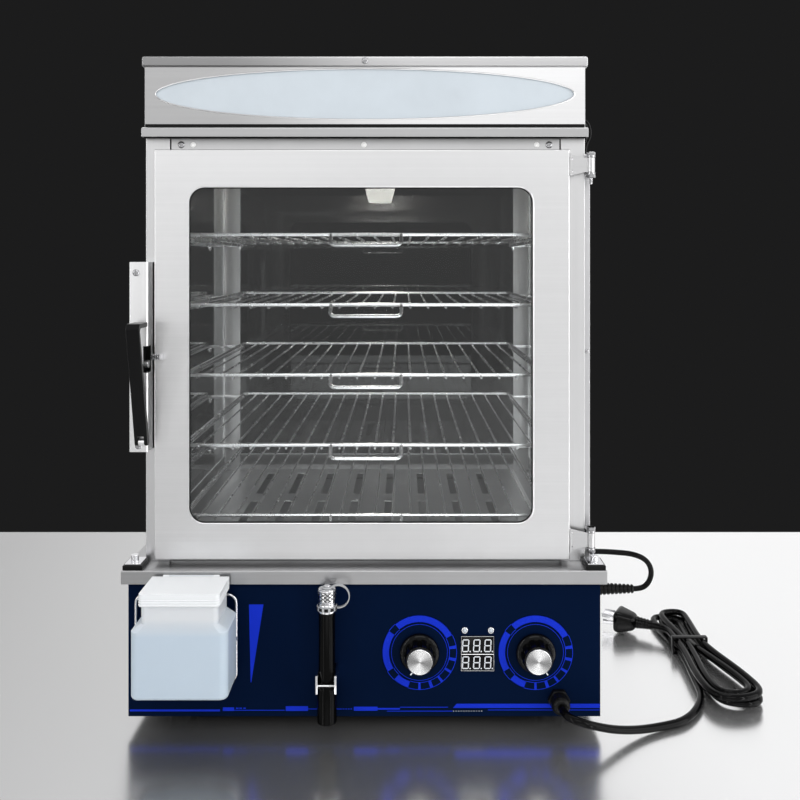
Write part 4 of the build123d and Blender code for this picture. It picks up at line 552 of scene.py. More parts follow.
moulded("board_laminate", (0.02, 0.12, 0.05), 0.45)
frosted = moulded("frosted_plastic", (0.60, 0.66, 0.71), 0.3, film=0.04, bump=0.02, scale=120)
clear_vinyl = moulded("clear_vinyl", (0.42, 0.43, 0.44), 0.14, film=0.04, bump=0.02, scale=120, shine=0.9)
lamp_lens = moulded("lamp_lens", (0.80, 0.80, 0.76), 0.25, glow=((1, 0.97, 0.9), 40.0))
moulded("amber_plastic", (0.55, 0.20, 0.02), 0.2)
# The header plugs are white plastic. Their faint glow is painted light, which keeps them white in the shade
# under the roof cap.
plug_white_painted_glow = moulded("header_plug_painted_glow", (0.92, 0.92, 0.91), 0.3, bump=0.01, glow=((1, 1, 0.99), 0.22))

# %% [markdown]
# Glass and the tank let light in. The glass is a plain clear shader with a faint film.
# The tank is milky polyethylene: light spreads inside it, and its lower part is bluer,
# where the water stands.


# %% Glass and tank plastic
def glazing(name, colour):
    """Flat clear glass with a faint film. Rays from a lamp pass straight through it."""
    finish, tree, shader = bare_finish(name, {"Transmission Weight": 1.0, "IOR": 1.45, "Roughness": 0.0})
    cover = add_node(tree, "Group", {"Scale": 5.0, "Colour": (*colour, 1)}, node_tree=film_group)
    feed(tree, shader, {"Base Color": (cover, "Colour")})
    shadow_ray = (add_node(tree, "LightPath"), "Is Shadow Ray")
    clear = add_node(tree, "BsdfTransparent")
    mix = add_node(tree, "MixShader", {0: shadow_ray, 1: (shader, 0), 2: (clear, 0)})
    feed(tree, tree.nodes["Material Output"], {"Surface": (mix, 0)})
    return finish


def shader_of(finish):
    """The Principled shader of a finish."""
    return finish.node_tree.nodes["Principled BSDF"]


glass = glazing("clear_glass", (0.96, 0.98, 0.98))
tank_blue, neck_pale = (0.57, 0.70, 0.84, 1), (0.78, 0.83, 0.88, 1)
tank_milky = moulded("milky_tank", tank_blue[:3], 0.26, film=0.0, bump=0.01, scale=90)
tank_tree = tank_milky.node_tree
above_water = remap(tank_tree, (parts_of(tank_tree, here(tank_tree)), "Z"), (0.120, 0.136), (0, 1))
paler = add_node(tank_tree, "Mix", {0: above_water, 6: tank_blue, 7: neck_pale}, data_type="RGBA")
feed(tank_tree, shader_of(tank_milky), {
    "Base Color": (paler, 2), "Subsurface Weight": 0.35, "Subsurface Scale": 0.02,
    "Subsurface Radius": (0.8, 0.9, 1.0),
})
lid_milky = moulded("milky_lid", (0.86, 0.88, 0.90), 0.24, film=0.0, bump=0.01, scale=90, cloud=1.5)

# Apart from these two, each slot of the record has a finish of its own name
finishes.update(clear_plastic=tank_milky, black_plastic=black_gloss)
for part in frame["record"]["subparts"]:
    piece = nodes[part["node"]]
    piece.data.materials.clear()
    piece.data.materials.append(finishes[part["material_slot"]])
nodes["corner_posts"].data.materials[0] = steel_upright
nodes["chamber_lamp"].data.materials[0] = lamp_lens
nodes["cable_duct"].data.materials[0] = duct_metal
# The bottom plate is made black: painted shade, for the deep shade under the base.
nodes["bottom_plate"].data.materials[0] = black_matte

# %% [markdown]
# ## Mains lead
# One round black flex, 8 mm thick and about 1.9 m long, runs from the gland to the
# floor, into a hank held by a tie, and out to its plug. It is one smooth spline,
# bevelled to a tube, through the same route as the solids.

# %% The lead, its hank and its tail
lead_route = [
    (0.1974, -0.2120, 0.0320), (0.1974, -0.2205, 0.0320), (0.2034, -0.2295, 0.0305),
    (0.2144, -0.2330, 0.0280), (0.2310, -0.2280, 0.0215), (0.2520, -0.2170, 0.0130),
    (0.2770, -0.2040, 0.0064), (0.3030, -0.1930, 0.0042), (0.3280, -0.1830, 0.0042),
    (0.3490, -0.1600, 0.0048), (0.3637, -0.1309, 0.0060),
]
hank_route = [
    (0.3664, -0.1070, 0.0060), (0.3742, -0.0368, 0.0060), (0.3723, 0.0033, 0.0060),
    (0.3667, 0.0491, 0.0060), (0.3680, 0.0863, 0.0060), (0.4071, 0.0802, 0.0060),
    (0.4060, 0.0478, 0.0060), (0.4020, 0.0023, 0.0060), (0.4038, -0.0337, 0.0060),
    (0.4214, -0.1013, 0.0060), (0.4264, -0.1493, 0.0060), (0.3803, -0.1494, 0.0060),
    (0.3757, -0.1060, 0.0060), (0.3841, -0.0358, 0.0060), (0.3822, 0.0030, 0.0060),
    (0.3761, 0.0488, 0.0060), (0.3771, 0.0766, 0.0060), (0.3974, 0.0712, 0.0060),
    (0.3966, 0.0481, 0.0060), (0.3921, 0.0026, 0.0077), (0.3939, -0.0348, 0.0130),
    (0.4120, -0.1022, 0.0147), (0.4161, -0.1409, 0.0147), (0.3803, -0.1494, 0.0147),
    (0.3757, -0.1060, 0.0147), (0.3841, -0.0358, 0.0147), (0.3822, 0.0030, 0.0147),
    (0.3761, 0.0488, 0.0147), (0.3771, 0.0766, 0.0147), (0.4071, 0.0802, 0.0147),
    (0.4060, 0.0478, 0.0147), (0.4020, 0.0023, 0.0147), (0.4038, -0.0337, 0.0147),
    (0.4214, -0.1013, 0.0147), (0.4264, -0.1493, 0.0147), (0.3719, -0.1597, 0.0147),
    (0.3664, -0.1070, 0.0147), (0.3742, -0.0368, 0.0147),
]
tail_route = [
    (0.3723, 0.0033, 0.0147), (0.3718, 0.0143, 0.0147), (0.3695, 0.0240, 0.0148),
    (0.3629, 0.0307, 0.0150), (0.3550, 0.0350, 0.0150),
]


def flex_line(name, route, radius, finish):
    """A cord's centreline: a smooth spline of order 3 through its route, bevelled to a tube."""
    piece, spline = tube(name, "NURBS", route, radius, 3)
    spline.order_u = 3
    spline.use_endpoint_u = True
    piece.data.materials.append(finish)
    return piece


mains_cord = flex_line("mains_cord", lead_route + hank_route + tail_route, 0.004, flex)
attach(mains_cord, "base")
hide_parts("mains_lead", "mains_hank", "mains_tail")
print("route points", len(lead_route + hank_route + tail_route))

# %% [markdown]
# Two short leads stay on the object. A thin one drops from the sign box into the duct
# on the right post. A thicker one leaves the duct's foot, loops out to the right and
# comes back into a ribbed boot on the base.

# %% Sign lead and lamp lead
sign_route = [
    (0.2275, -0.1500, 0.6270), (0.2350, -0.1500, 0.6270), (0.2395, -0.1500, 0.6115),
    (0.23275, -0.1500, 0.5990), (0.23275, -0.1500, 0.5900),
]
lamp_route = [
    (0.2365, -0.1500, 0.1682), (0.2505, -0.1500, 0.1682), (0.2670, -0.1510, 0.1675),
    (0.2840, -0.1520, 0.1662), (0.2980, -0.1520, 0.1600), (0.3040, -0.1510, 0.1475),
    (0.3010, -0.1500, 0.1350), (0.2930, -0.1500, 0.1285), (0.2840, -0.1500, 0.1285),
]
sign_lead = flex_line("sign_lead", sign_route, 0.0016, flex)
lamp_lead = flex_line("lamp_lead", lamp_route, 0.0028, flex)
for lead in (sign_lead, lamp_lead):
    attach(lead, "base")
    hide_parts("lamp_leads")

# %% [markdown]
# ## Plug, gland and tie
# The plug is a moulded one with three flat blades and a ribbed neck. The gland is a
# hexagon with a ribbed dome nut. Both are turned or boxed, then rounded.

# %% Plug
plug_back = Vector((0.355, 0.035, 0.015))
plug_way = Vector((-0.880471, 0.4741, 0)).normalized()
plug_turn = Matrix((
    (plug_way.x, -plug_way.y, 0),
    (plug_way.y, plug_way.x, 0),
    (0, 0, 1),
)).to_4x4()


def ribbed_neck(name, place, axis, length, root, tip, ribs, groove=0.0008):
    """A strain relief: a tapering sleeve with grooves round it."""
    profile = [(0.0001, 0), (root, 0)]
    pitch = length / (ribs + 0.5)
    for n in range(ribs):
        start = (n + 0.5) * pitch
        here = root + (tip - root) * start / length
        profile += [
            (here, start), (here - groove, start + 0.12 * pitch),
            (here - groove, start + 0.42 * pitch), (here, start + 0.54 * pitch),
        ]
    profile += [(tip, length - 0.0006), (tip - 0.0006, length), (0.0001, length)]
    return turned(name, profile, place, axis)


plug_body = block("plug_body", (0.018, -0.0185, -0.0145), (0.046, 0.0185, 0.0145))
open_on(plug_body, lambda c, f: f.normal.x < -0.9)
bpy.ops.transform.resize(value=(1, 0.58, 0.6))
clear_selection()
round_edges(plug_body, 0.007, 5)
plug_body.data.transform(Matrix.Translation(plug_back) @ plug_turn)
neck = ribbed_neck("plug_neck", plug_back, plug_way, 0.022, 0.0058, 0.0080, 5)
mains_plug = hand_over(
    join("plug_moulding", [plug_body, neck]), "base", black_gloss, ["mains_plug"]
)
blades = []
for across, height, lean in ((-0.00685, 0.004, 30), (0.00685, 0.004, -30), (0, -0.0063, 0)):
    blade = block("blade", (0.046, -0.0008, -0.0031), (0.0625, 0.0008, 0.0031))
    round_edges(blade, 0.0005, 2)
    blade.data.transform(
        Matrix.Translation(plug_back) @ plug_turn @ Matrix.Translation((0, across, height))
        @ Matrix.Rotation(radians(lean), 4, "X")
    )
    blades.append(blade)
plug_pins = hand_over(join("plug_pins", blades), "base", chrome)

# %% Gland and tie
gland_at = Vector((0.1974, -0.192, 0.032))
hexagon = turned(
    "gland_hexagon", [(0.0001, 0), (0.0115, 0), (0.0115, 0.006), (0.0001, 0.006)], gland_at, (0, -1, 0), 6
)
round_edges(hexagon, 0.0008)
dome = turned(
    "gland_dome",
    [(0.0001, 0.005), (0.0094, 0.006), (0.0094, 0.0105), (0.0090, 0.0115), (0.0094, 0.0125),
     (0.0092, 0.0160), (0.0075, 0.0190), (0.0050, 0.0200), (0.0040, 0.0200), (0.0001, 0.0200)],
    gland_at, (0, -1, 0), 24,
)
gland_nut = hand_over(
    join("gland_nut", [hexagon, dome]), "base", black_matte, ["mains_gland"]
)
tie_band = hand_over(fair_copy("lead_tie", 0.0004), "base", black_matte, ["lead_tie"])

# %% Boot of the lamp lead
boot_flange = turned(
    "boot_flange", [(0.0001, 0), (0.0080, 0), (0.0080, 0.0030), (0.0070, 0.0040), (0.0001, 0.0040)],
    (0.240, -0.150, 0.1285), (1, 0, 0),
)
boot_sleeve = ribbed_neck(
    "boot_sleeve", (0.2435, -0.150, 0.1285), (1, 0, 0), 0.0405, 0.0066, 0.0044, 9, 0.0011
)
lead_boot = hand_over(
    join("lead_boot", [boot_sleeve, boot_flange]), "base", rubber, ["lamp_lead_boot"]
)

# %% [markdown]
# ## Sheet metal
# The cabinet, base and sign box are folded sheet. The solids have the true shapes, so
# each becomes a clean copy whose folds are rounded by 0.3 to 1.2 mm. That thin bright
# line on every fold is what makes sheet metal look like sheet metal.

# %% Rounded folds
sheet_pieces = [
    ("deck", "base", 0.0009, steel_rim_painted_shade), ("base_housing", "base", 0.0006, steel),
    ("front_panel", "base", 0.0003, navy), ("corner_posts", "base", 0.0006, steel_upright),
    ("frame_rails", "base", 0.0005, steel_rail_painted_shade), ("roof_cap", "base", 0.0012, steel_roof_painted_shade),
    ("sign_box", "base", 0.0006, steel_sign_painted_light), ("sign_lid", "base", 0.0012, steel_lid_painted_shade),
    ("door_frame", "door", 0.0011, steel_door_painted_sheen), ("hinge_straps", "door", 0.0004, steel_rail_painted_shade),
    ("hinge_brackets", "base", 0.0004, dull_chrome), ("latch_housing", "base", 0.0005, steel_latch),
    ("cable_duct", "base", 0.0006, duct_metal), ("clamp_pads", "base", 0.0008, rubber),
    ("clamp_screws", "base", 0.0005, chrome), ("steam_baffle", "steam_baffle", 0.0006, steel),
    ("latch_lever", "latch_lever", 0.0009, black_matte), ("striker", "door", 0.0004, chrome),
    ("drain_pipe", "base", 0.0004, hose_rubber), ("cap_tether", "base", 0.0003, clear_vinyl),
    ("chamber_lamp", "base", 0.0010, lamp_lens), ("sign_diffuser", "base", 0.0003, frosted),
]
for node, body, width, finish in sheet_pieces:
    hand_over(fair_copy(node, width), body, finish, [node], even=True)

# %% [markdown]
# ## Shelves
# Each shelf is a round-bar frame with twenty long wires under it and a pull handle
# welded to the front bar. One shelf is made from bent bars and then copied upwards.

# %% Shelves
first_z = 0.206
pitch_z = 0.0748
front_y, back_y, half_x = -0.146, 0.229, 0.196
wire_z, wire_pitch, wire_reach = first_z - 0.00295, 0.0189, 0.0032
bars = [rod(
    "shelf_frame",
    bent([(-half_x, front_y, first_z), (half_x, front_y, first_z),
          (half_x, back_y, first_z), (-half_x, back_y, first_z)], 0.007, closed=True),
    0.002, closed=True,
)]
for n in range(20):
    x = (n - 9.5) * wire_pitch
    ends = [(x, front_y - wire_reach, wire_z), (x, back_y + wire_reach, wire_z)]
    bars.append(rod("shelf_wire", ends, 0.0013, sides=1))
grip_x, grip_y, grip_z = 0.0375, front_y - 0.014, first_z - 0.0114
bars.append(rod(
    "shelf_handle",
    bent([(-grip_x, front_y, first_z), (-grip_x, grip_y, grip_z),
          (grip_x, grip_y, grip_z), (grip_x, front_y, first_z)], 0.006),
    0.002,
))
shelves = [join("shelf_1_wires", bars)]
for n in range(1, 5):
    shelves.append(twin(shelves[0], f"shelf_{n + 1}_wires", (0, 0, pitch_z * n)))
for n, shelf in enumerate(shelves, start=1):
    hand_over(shelf, f"shelf_{n}", bar_chrome, [f"shelf_{n}"])

# %% [markdown]
# The runners are hooked bars. On the real cabinet each end turns out to the post and
# ends in a welded eye, which shows as a small ring below the shelf.

# %% Runners
runner_x, post_x, eye_radius = 0.1975, 0.2275, 0.0044
runners = []
for n in range(5):
    z = first_z + pitch_z * n - 0.0048
    eye_y, eye_z = 0.222, z - 0.0030
    for side in (-1, 1):
        runners.append(rod(
            "runner",
            bent([(side * post_x, -0.156, z), (side * runner_x, -0.156, z),
                  (side * runner_x, 0.230, z), (side * post_x, 0.230, z)], 0.006),
            0.0025,
        ))
        turns = [pi * k / 8 for k in range(16)]
        ring = [(side * 0.2015, eye_y + eye_radius * cos(a), eye_z + eye_radius * sin(a)) for a in turns]
        runners.append(rod("runner_eye", ring, 0.0013, closed=True))
hand_over(join("runner_bars", runners), "base", bar_chrome, ["shelf_runners"])

# %% [markdown]
# ## Window and sign trim
# The door's window has a bright hemmed edge with a dark seal just inside it, and the
# oval opening of the sign box has a thin lip. All three are bars along the edge.


# %% Trim
def oval(width, height, middle, y, count=96):
    """Points round an oval that faces the front."""
    return [
        (middle[0] + width / 2 * cos(2 * pi * n / count), y, middle[1] + height / 2 * sin(2 * pi * n / count))
        for n in range(count)
    ]


def window_line(inset, y, radius):
    """The window's outline, drawn in by inset."""
    left, right = -0.1822 + inset, 0.1742 - inset
    low, high = 0.206 + inset, 0.554 - inset
    corners = [(left, y, low), (right, y, low), (right, y, high), (left, y, high)]
    return bent(corners, radius - inset, steps=10, closed=True)


door_face = -0.180
hem = rod("window_hem", window_line(0.0004, door_face + 0.0004, 0.017), 0.0009, closed=True)
hand_over(hem, "door", steel)
seal = rod("window_seal", window_line(0.0016, door_face + 0.0010, 0.017), 0.0008, closed=True, sides=1)
hand_over(seal, "door", rubber)
sign_face = -0.1775
lip = rod("sign_lip", oval(0.433, 0.0525, (0, 0.6495), sign_face - 0.0001), 0.0007, closed=True, sides=1)
hand_over(lip, "base", steel)

# %% [markdown]
# ## Screws
# Cross-head screws hold the header, the sign lid, the latch, the duct and the hinge
# straps. Each head is turned, and its cross is cut with two thin blocks.


# %% Screws
def cross_screw(name, radius, height, place, axis):
    """A pan-head screw with a cross cut in its head."""
    head = turned(
        name,
        [(0.00005, 0), (radius, 0), (radius, 0.45 * height), (0.86 * radius, 0.8 * height),
         (0.5 * radius, height), (0.00005, height)],
        (0, 0, 0), steps=20,
    )
    cutters = []
    for size in ((1.2 * radius, 0.26 * radius), (0.26 * radius, 1.2 * radius)):
        cutters.append(block(
            "cutter", (-size[0] / 2, -size[1] / 2, 0.45 * height), (size[0] / 2, size[1] / 2, 2 * height)
        ))
    for cutter in cutters:
        modify(head, "BOOLEAN", operation="DIFFERENCE", object=cutter, solver="EXACT")
    for cutter in cutters:
        bpy.data.objects.remove(cutter)
    head.data.transform(Matrix.Translation(place) @ stand_along(axis))
    return head


def front_of(node, x, z):
    """Where a ray from the front first meets a CAD node, so that what sits there touches it."""
    mesh = nodes[node].data
    tree = BVHTree.FromPolygons([p.co for p in mesh.vertices], [tuple(f.vertices) for f in mesh.polygons])
    place = tree.ray_cast(Vector((x, -1, z)), Vector((0, 1, 0)))[0]
    if place is None:
        raise ValueError(f"nothing of {node} lies behind {x}, {z}")
    return place.y


def screws_on(name, node, body, places, radius, height=0.0018):
    """Cross-head screws on the front of a node."""
    heads = []
    for x, z in places:
        seat = (x, front_of(node, x, z) + 0.0001, z)
        heads.append(cross_screw("screw", radius, height, seat, (0, -1, 0)))
    return hand_over(join(name, heads), body, dull_chrome)


hinge_heights = (0.1885, 0.5765)
strap_places = [(0.2135, z + shift) for z in hinge_heights for shift in (-0.0065, 0.0065)]
screws_on("header_screws", "frame_rails", "base", [(-0.1925, 0.5985), (0.1920, 0.5985)], 0.0036)
screws_on("lid_screw", "sign_lid", "base", [(0.0, 0.6835)], 0.0034)
screws_on("latch_screws", "latch_housing", "base", [(-0.2330, 0.4650), (-0.2305, 0.2885)], 0.0036)
screws_on("duct_screw", "cable_duct", "base", [(0.2328, 0.3820)], 0.0024, 0.0014)
screws_on("strap_screws", "hinge_straps", "door", strap_places, 0.0015, 0.0008)
dots = [
    turned("dot", [(0.00005, 0), (0.0028, 0), (0.0028, 0.0006), (0.0022, 0.0012), (0.00005, 0.0014)],
           (x, front_of("frame_rails", x, 0.5985), 0.5985), (0, -1, 0), 20)
    for x in (-0.180, -0.0015, 0.1790)
]
hand_over(join("header_plugs", dots), "base", plug_white_painted_glow)

# %% [markdown]
# The posts stand a little proud of the rails between them. Black strips in that step at
# the ends of the header and the sill, and in the gap along the latch housing's right
# side, are painted shade. Under the sign box a dark strip of sealant fills the gap to the roof.

# %% Painted shade strips and sealant
half_strip = 0.0006
dark_strips = []
for side in (-1, 1):
    x = side * 0.2034
    for low, high in ((0.1655, 0.1845), (0.5760, 0.6045)):
        face = front_of("frame_rails", side * 0.2030, (low + high) / 2)
        dark_strips.append(block(
            "dark_strip", (x - half_strip, face - 0.0003, low), (x + half_strip, face + 0.0004, high)
        ))
dark_strips.append(block("sealant", (-0.2270, -0.1781, 0.6150), (0.2270, -0.1765, 0.6184)))
latch_low, latch_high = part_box("latch_housing")
# Painted shade: a black strip in the gap right of the latch housing.
dark_strips.append(block(
    "dark_strip", (latch_high.x, latch_high.y - 0.0004, latch_low.z),
    (latch_high.x + 0.0011, latch_high.y + 0.0004, latch_high.z),
))
for dark_strip in dark_strips:
    round_edges(dark_strip, 0.0001, 1)
hand_over(join("sealant_and_shade_strips", dark_strips), "base", rubber)

# %% [markdown]
# The latch has a notch for its roller. Black plastic lines its back, its inner side,
# its floor and its top.

# %% Lining of the latch's notch
notch_wide, notch_deep, notch_tall, notch_rise, lining = 0.0047, 0.014, 0.027, 0.081, 0.0004
mouth_y = latch_high.y - 0.021
left, right = latch_high.x - notch_wide, latch_high.x - 0.0003
front, back = mouth_y + lining, mouth_y + notch_deep
low = latch_low.z + notch_rise
high = low + notch_tall
linings = [
    block("lining", (left, front, low), (left + lining, back, high)),
    block("lining", (left, back - lining, low), (right, back, high)),
    block("lining", (left, front, low), (right, back, low + lining)),
    block("lining", (left, front, high - lining), (right, back, high)),
]
hand_over(join("latch_notch_lining", linings), "base", black_matte)

# %% [markdown]
# Each hinge turns on a pin with a hexagon nut and a washer at both ends. The nuts are
# turned with six steps, which is the quickest way to a hexagon.

# %% Hinge nuts, washers and striker stud
nut_profile = [
    (0.0001, 0), (0.0042, 0), (0.0047, 0.0005), (0.0047, 0.0025), (0.0042, 0.0030), (0.0001, 0.0030),
]
washer_profile = [(0.0026, 0), (0.0042, 0), (0.0042, 0.0005), (0.0026, 0.0005), (0.0026, 0)]
pin_x, pin_y = 0.234, -0.175
nuts = []
washers = []
for z in hinge_heights:
    for start in (-0.0133, 0.0103):
        nuts.append(turned("hinge_nut", nut_profile, (pin_x, pin_y, z + start), steps=6))
    for start in (-0.0080, 0.0075):
        washers.append(turned("hinge_washer", washer_profile, (pin_x, pin_y, z + start), steps=24))
nuts.append(turned(
    "pin_tail", [(0.0001, 0), (0.0012, 0), (0.0017, 0.0006), (0.0017, 0.0070), (0.0001, 0.0070)],
    (pin_x, pin_y, hinge_heights[1] - 0.0200), steps=20,
))
hand_over(join("hinge_nuts", nuts), "base", dull_chrome)
hand_over(join("hinge_washers", washers), "base", rubber)
thread_pitch = 0.0022
stud_profile = [(0.0001, 0), (0.0022, 0)]
for n in range(4):
    start = n * thread_pitch
    stud_profile += [
        (0.0029, start + 0.0004), (0.0029, start + 0.0014),
        (0.0021, start + 0.0018), (0.0021, start + thread_pitch),
    ]
stud_profile += [(0.0018, 0.0092), (0.0001, 0.0094)]
stud = turned("striker_stud", stud_profile, (-0.2188, -0.1834, 0.3787), (1, 0, 0), 24)
hand_over(stud, "door", dull_chrome)

# %% [markdown]
# ## Knobs
# Both knobs are the same moulding: a flat skirt and a fluted grip, with a silver cap
# spun from aluminium and a white pointer. The grip is turned, and its flutes are
# pressed in by scaling columns of points towards the axis.


# %% Knobs
def fluted_knob(name, place, pointer_angle):
    """Skirt and fluted grip of one knob, facing the front."""
    skirt = turned(
        name + "_skirt",
        [(0.0001, 0.001), (0.0192, 0.001), (0.0200, 0.0018), (0.0200, 0.0040), (0.0192, 0.0052),
         (0.0165, 0.0062), (0.0001, 0.0062)],
        (0, 0, 0), steps=48,
    )
    grip = turned(
        name + "_grip",
        [(0.0001, 0.004), (0.0164, 0.004), (0.0160, 0.0062), (0.0157, 0.009), (0.0153, 0.0125),
         (0.0149, 0.016), (0.0146, 0.0195), (0.0140, 0.0213), (0.0130, 0.0220), (0.0001, 0.0220)],
        (0, 0, 0), steps=80,
    )
    flutes = 10
    open_on(
        grip,
        lambda c, v: 0.0055 < c.z < 0.020 and hypot(c.x, c.y) > 0.01
        and abs((degrees(atan2(c.y, c.x)) * flutes / 360) % 1 - 0.5) < 0.22,
        "VERT",
    )
    bpy.ops.transform.resize(value=(0.88, 0.88, 1))
    clear_selection()
    for piece in (skirt, grip):
        piece.data.transform(Matrix.Translation(place) @ stand_along((0, -1, 0)))
    pointer = block("pointer", (0.0132, -0.0006, 0.0212), (0.0160, 0.0006, 0.0222))
    pointer.data.transform(
        Matrix.Translation(place) @ Matrix.Rotation(radians(90), 4, "X")
        @ Matrix.Rotation(radians(pointer_angle), 4, "Z")
    )
    return join(name + "_grip", [skirt, grip]), round_edges(pointer, 0.0002)


def spun_cap(name, place):
    """The silver disc on a knob's front, with fine rings left by the lathe."""
    rings = []
    for n in range(12):
        rings += [(0.0012 + n * 0.0009, 0.02352), (0.00165 + n * 0.0009, 0.02358)]
    rim = [(0.0001, 0.0218), (0.0128, 0.0218), (0.0128, 0.0228), (0.0123, 0.0234)]
    return turned(name, rim + rings[::-1] + [(0.0001, 0.0236)], place, (0, -1, 0), 64)


def build_bowtie_highlight_group():
    """Painted highlight: the bow-tie shine of a turned face, a tone that follows the angle round its centre,
    with streaks of spun grain.
    """
    tree, given = open_group("painted_bowtie_highlight", {"Centre": (0, 0, 0), "Colour": (0.8, 0.8, 0.8, 1)})
    centred = add_node(tree, "VectorMath", {0: here(tree), 1: (given, "Centre")}, operation="SUBTRACT")
    parts = parts_of(tree, (centred, 0))
    angle = reckon(tree, "ARCTAN2", (parts, "X"), (parts, "Z"))
    wave = reckon(tree, "COSINE", reckon(tree, "MULTIPLY_ADD", angle, 2, -0.4))
    streak = add_node(tree, "TexNoise", {"W": angle, "Scale": 9, "Detail": 4}, noise_dimensions="1D")
    mixed = reckon(tree, "MULTIPLY_ADD", (streak, "Fac"), 0.5, wave)
    tone = remap(tree, mixed, (-0.7, 1.15), (0.30, 1.0))
    return close_group(tree, {"Colour": scaled(tree, (given, "Colour"), tone)})


bowtie_highlight_group = build_bowtie_highlight_group()


def bowtie_highlight_finish(name, centre):
    """Turned aluminium round one centre, with a painted bow-tie highlight."""
    finish, tree, shader = bare_finish(name, {"Metallic": 1, "Roughness": 0.24})
    look = {"Centre": centre, "Colour": (0.84, 0.84, 0.84, 1)}
    face = add_node(tree, "Group", look, node_tree=bowtie_highlight_group)
    feed(tree, shader, {"Base Color": (face, "Colour")})
    return finish


panel_face = -0.192
knob_z = 0.079
timer_x, thermostat_x = 0.056, 0.174
for knob, x, pointer_angle in (("timer", timer_x, 235), ("thermostat", thermostat_x, 305)):
    at = (x, panel_face, knob_z)
    grip, pointer = fluted_knob(knob + "_knob", at, pointer_angle)
    hand_over(grip, knob + "_knob", black_gloss, [knob + "_knob"])
    hand_over(pointer, knob + "_knob", print_white)
    disc = spun_cap(knob + "_cap_disc", at)
    # The cap's bow-tie shine is a painted highlight.
    shine = bowtie_highlight_finish(knob + "_turned", at)
    hand_over(disc, knob + "_knob", shine, [knob + "_knob_cap"])

# %% [markdown]
# ## Printing on the panel
# The panel is printed with a blue ring round each knob, a wedge beside the tank that
# shows the water level, and broken stripes along the bottom. Each is a sheet a tenth
# of a millimetre thick on the panel.

# %% Printing
ink = 0.0001


def ink_ring(name, centre, outer, inner, keep, count=120):
    """A flat ring on the panel, of which only the faces that keep allows stay."""
    clear_selection()
    bpy.ops.mesh.primitive_circle_add(vertices=count, radius=outer, fill_type="NOTHING")
    ring = bpy.context.object
    ring.name = name
    open_on(ring)
    bpy.ops.mesh.extrude_edges_move()
    bpy.ops.transform.resize(value=(inner / outer, inner / outer, 1))
    bpy.ops.mesh.select_mode(type="FACE")
    bpy.ops.object.mode_set(mode="OBJECT")
    if keep:
        open_on(ring, lambda c, f: not keep(degrees(atan2(c.y, c.x)) % 360))
        bpy.ops.mesh.delete(type="FACE")
    settle(ring)
    ring.data.transform(
        Matrix.Translation((centre[0], panel_face - ink, centre[1])) @ Matrix.Rotation(radians(90), 4, "X")
    )
    return ring


def ink_patch(name, corners):
    """A flat patch on the panel from corners (x, z)."""
    points = [(x, panel_face - ink, z) for x, z in corners]
    return from_points(name, points, [], [list(range(len(corners)))])


def ink_bar(x0, x1, z0, z1):
    """A rectangle of ink."""
    return ink_patch("ink_bar", [(x0, z0), (x1, z0), (x1, z1), (x0, z1)])


def solid_arc(angle):
    """The broad band: over the top, down the left and a piece at the lower left."""
    return 28 < angle < 131 or 145 < angle < 211 or 227 < angle < 252


def cross_bar(angle):
    """Narrow bars that divide the open part of the ring."""
    return any(abs((angle - middle + 180) % 360 - 180) < 2.3 for middle in (270, 289.5, 308, 328, 348.5, 8.8))


inks = []
for centre in ((timer_x, knob_z), (thermostat_x, knob_z)):
    inks.append(ink_ring("ink_band", centre, 0.0381, 0.0303, solid_arc, 360))
    inks.append(ink_ring("ink_bars", centre, 0.0375, 0.0309, cross_bar, 360))
    for outer, inner in ((0.0381, 0.0375), (0.0309, 0.0303), (0.0287, 0.0282)):
        inks.append(ink_ring("ink_line", centre, outer, inner, None, 120))
inks.append(ink_patch(
    "ink_wedge", [(-0.1173, 0.1278), (-0.1026, 0.1278), (-0.1150, 0.0485), (-0.1156, 0.0485)]
))
thin = 0.00035
for x0, x1, z0, z1 in (
    (-0.2383, -0.1468, 0.0190, 0.0210), (-0.1439, -0.1325, 0.0195, 0.0231),
    (-0.1305, -0.1280, 0.0216, 0.0228), (-0.1270, -0.1246, 0.0216, 0.0228),
    (-0.1230, -0.1206, 0.0216, 0.0228),
    (-0.1325, -0.0810, 0.0202 - thin, 0.0202 + thin), (-0.0799, -0.0573, 0.0195, 0.0243),
    (-0.0573, -0.0481, 0.0215 - thin, 0.0215 + thin), (-0.0319, -0.0227, 0.0215 - thin, 0.0215 + thin),
    (-0.0107, 0.0134, 0.0197, 0.0238), (0.0134, 0.0362, 0.0208, 0.0225),
    (0.0362, 0.0851, 0.0233 - thin, 0.0233 + thin), (0.0230, 0.0896, 0.0193 - thin, 0.0193 + thin),
    (0.1257, 0.2395, 0.0205 - thin, 0.0205 + thin),
):
    inks.append(ink_bar(x0, x1, z0, z1))
for n in range(4):
    inks.append(ink_bar(-0.0217 + n * 0.0026, -0.0205 + n * 0.0026, 0.0209, 0.0221))
inks.append(ink_patch("ink_stripe", [(0.0901, 0.0225), (0.2395, 0.0225), (0.2395, 0.0268), (0.0939, 0.0268)]))


def print_on_panel(name, patches, finish):
    """Join flat patches, give them the ink's thickness and put them on the panel."""
    sheet = join(name, patches)
    modify(sheet, "SOLIDIFY", thickness=ink * 0.9, offset=-1)
    open_on(sheet)
    bpy.ops.mesh.normals_make_consistent(inside=False)
    return hand_over(sheet, "base", finish, smooth=0)


print_on_panel("panel_ink", inks, print_blue)
specks = [ink_bar(0.0903 + n * 0.0026, 0.0911 + n * 0.0026, 0.0190, 0.0197) for n in range(12)]
print_on_panel("panel_specks", specks, print_white)

# %% [markdown]
# ## Display and lamps
# A dark window holds two rows of three seven-segment digits, with all segments showing,
# and two small lamps sit above it in chromed bezels.

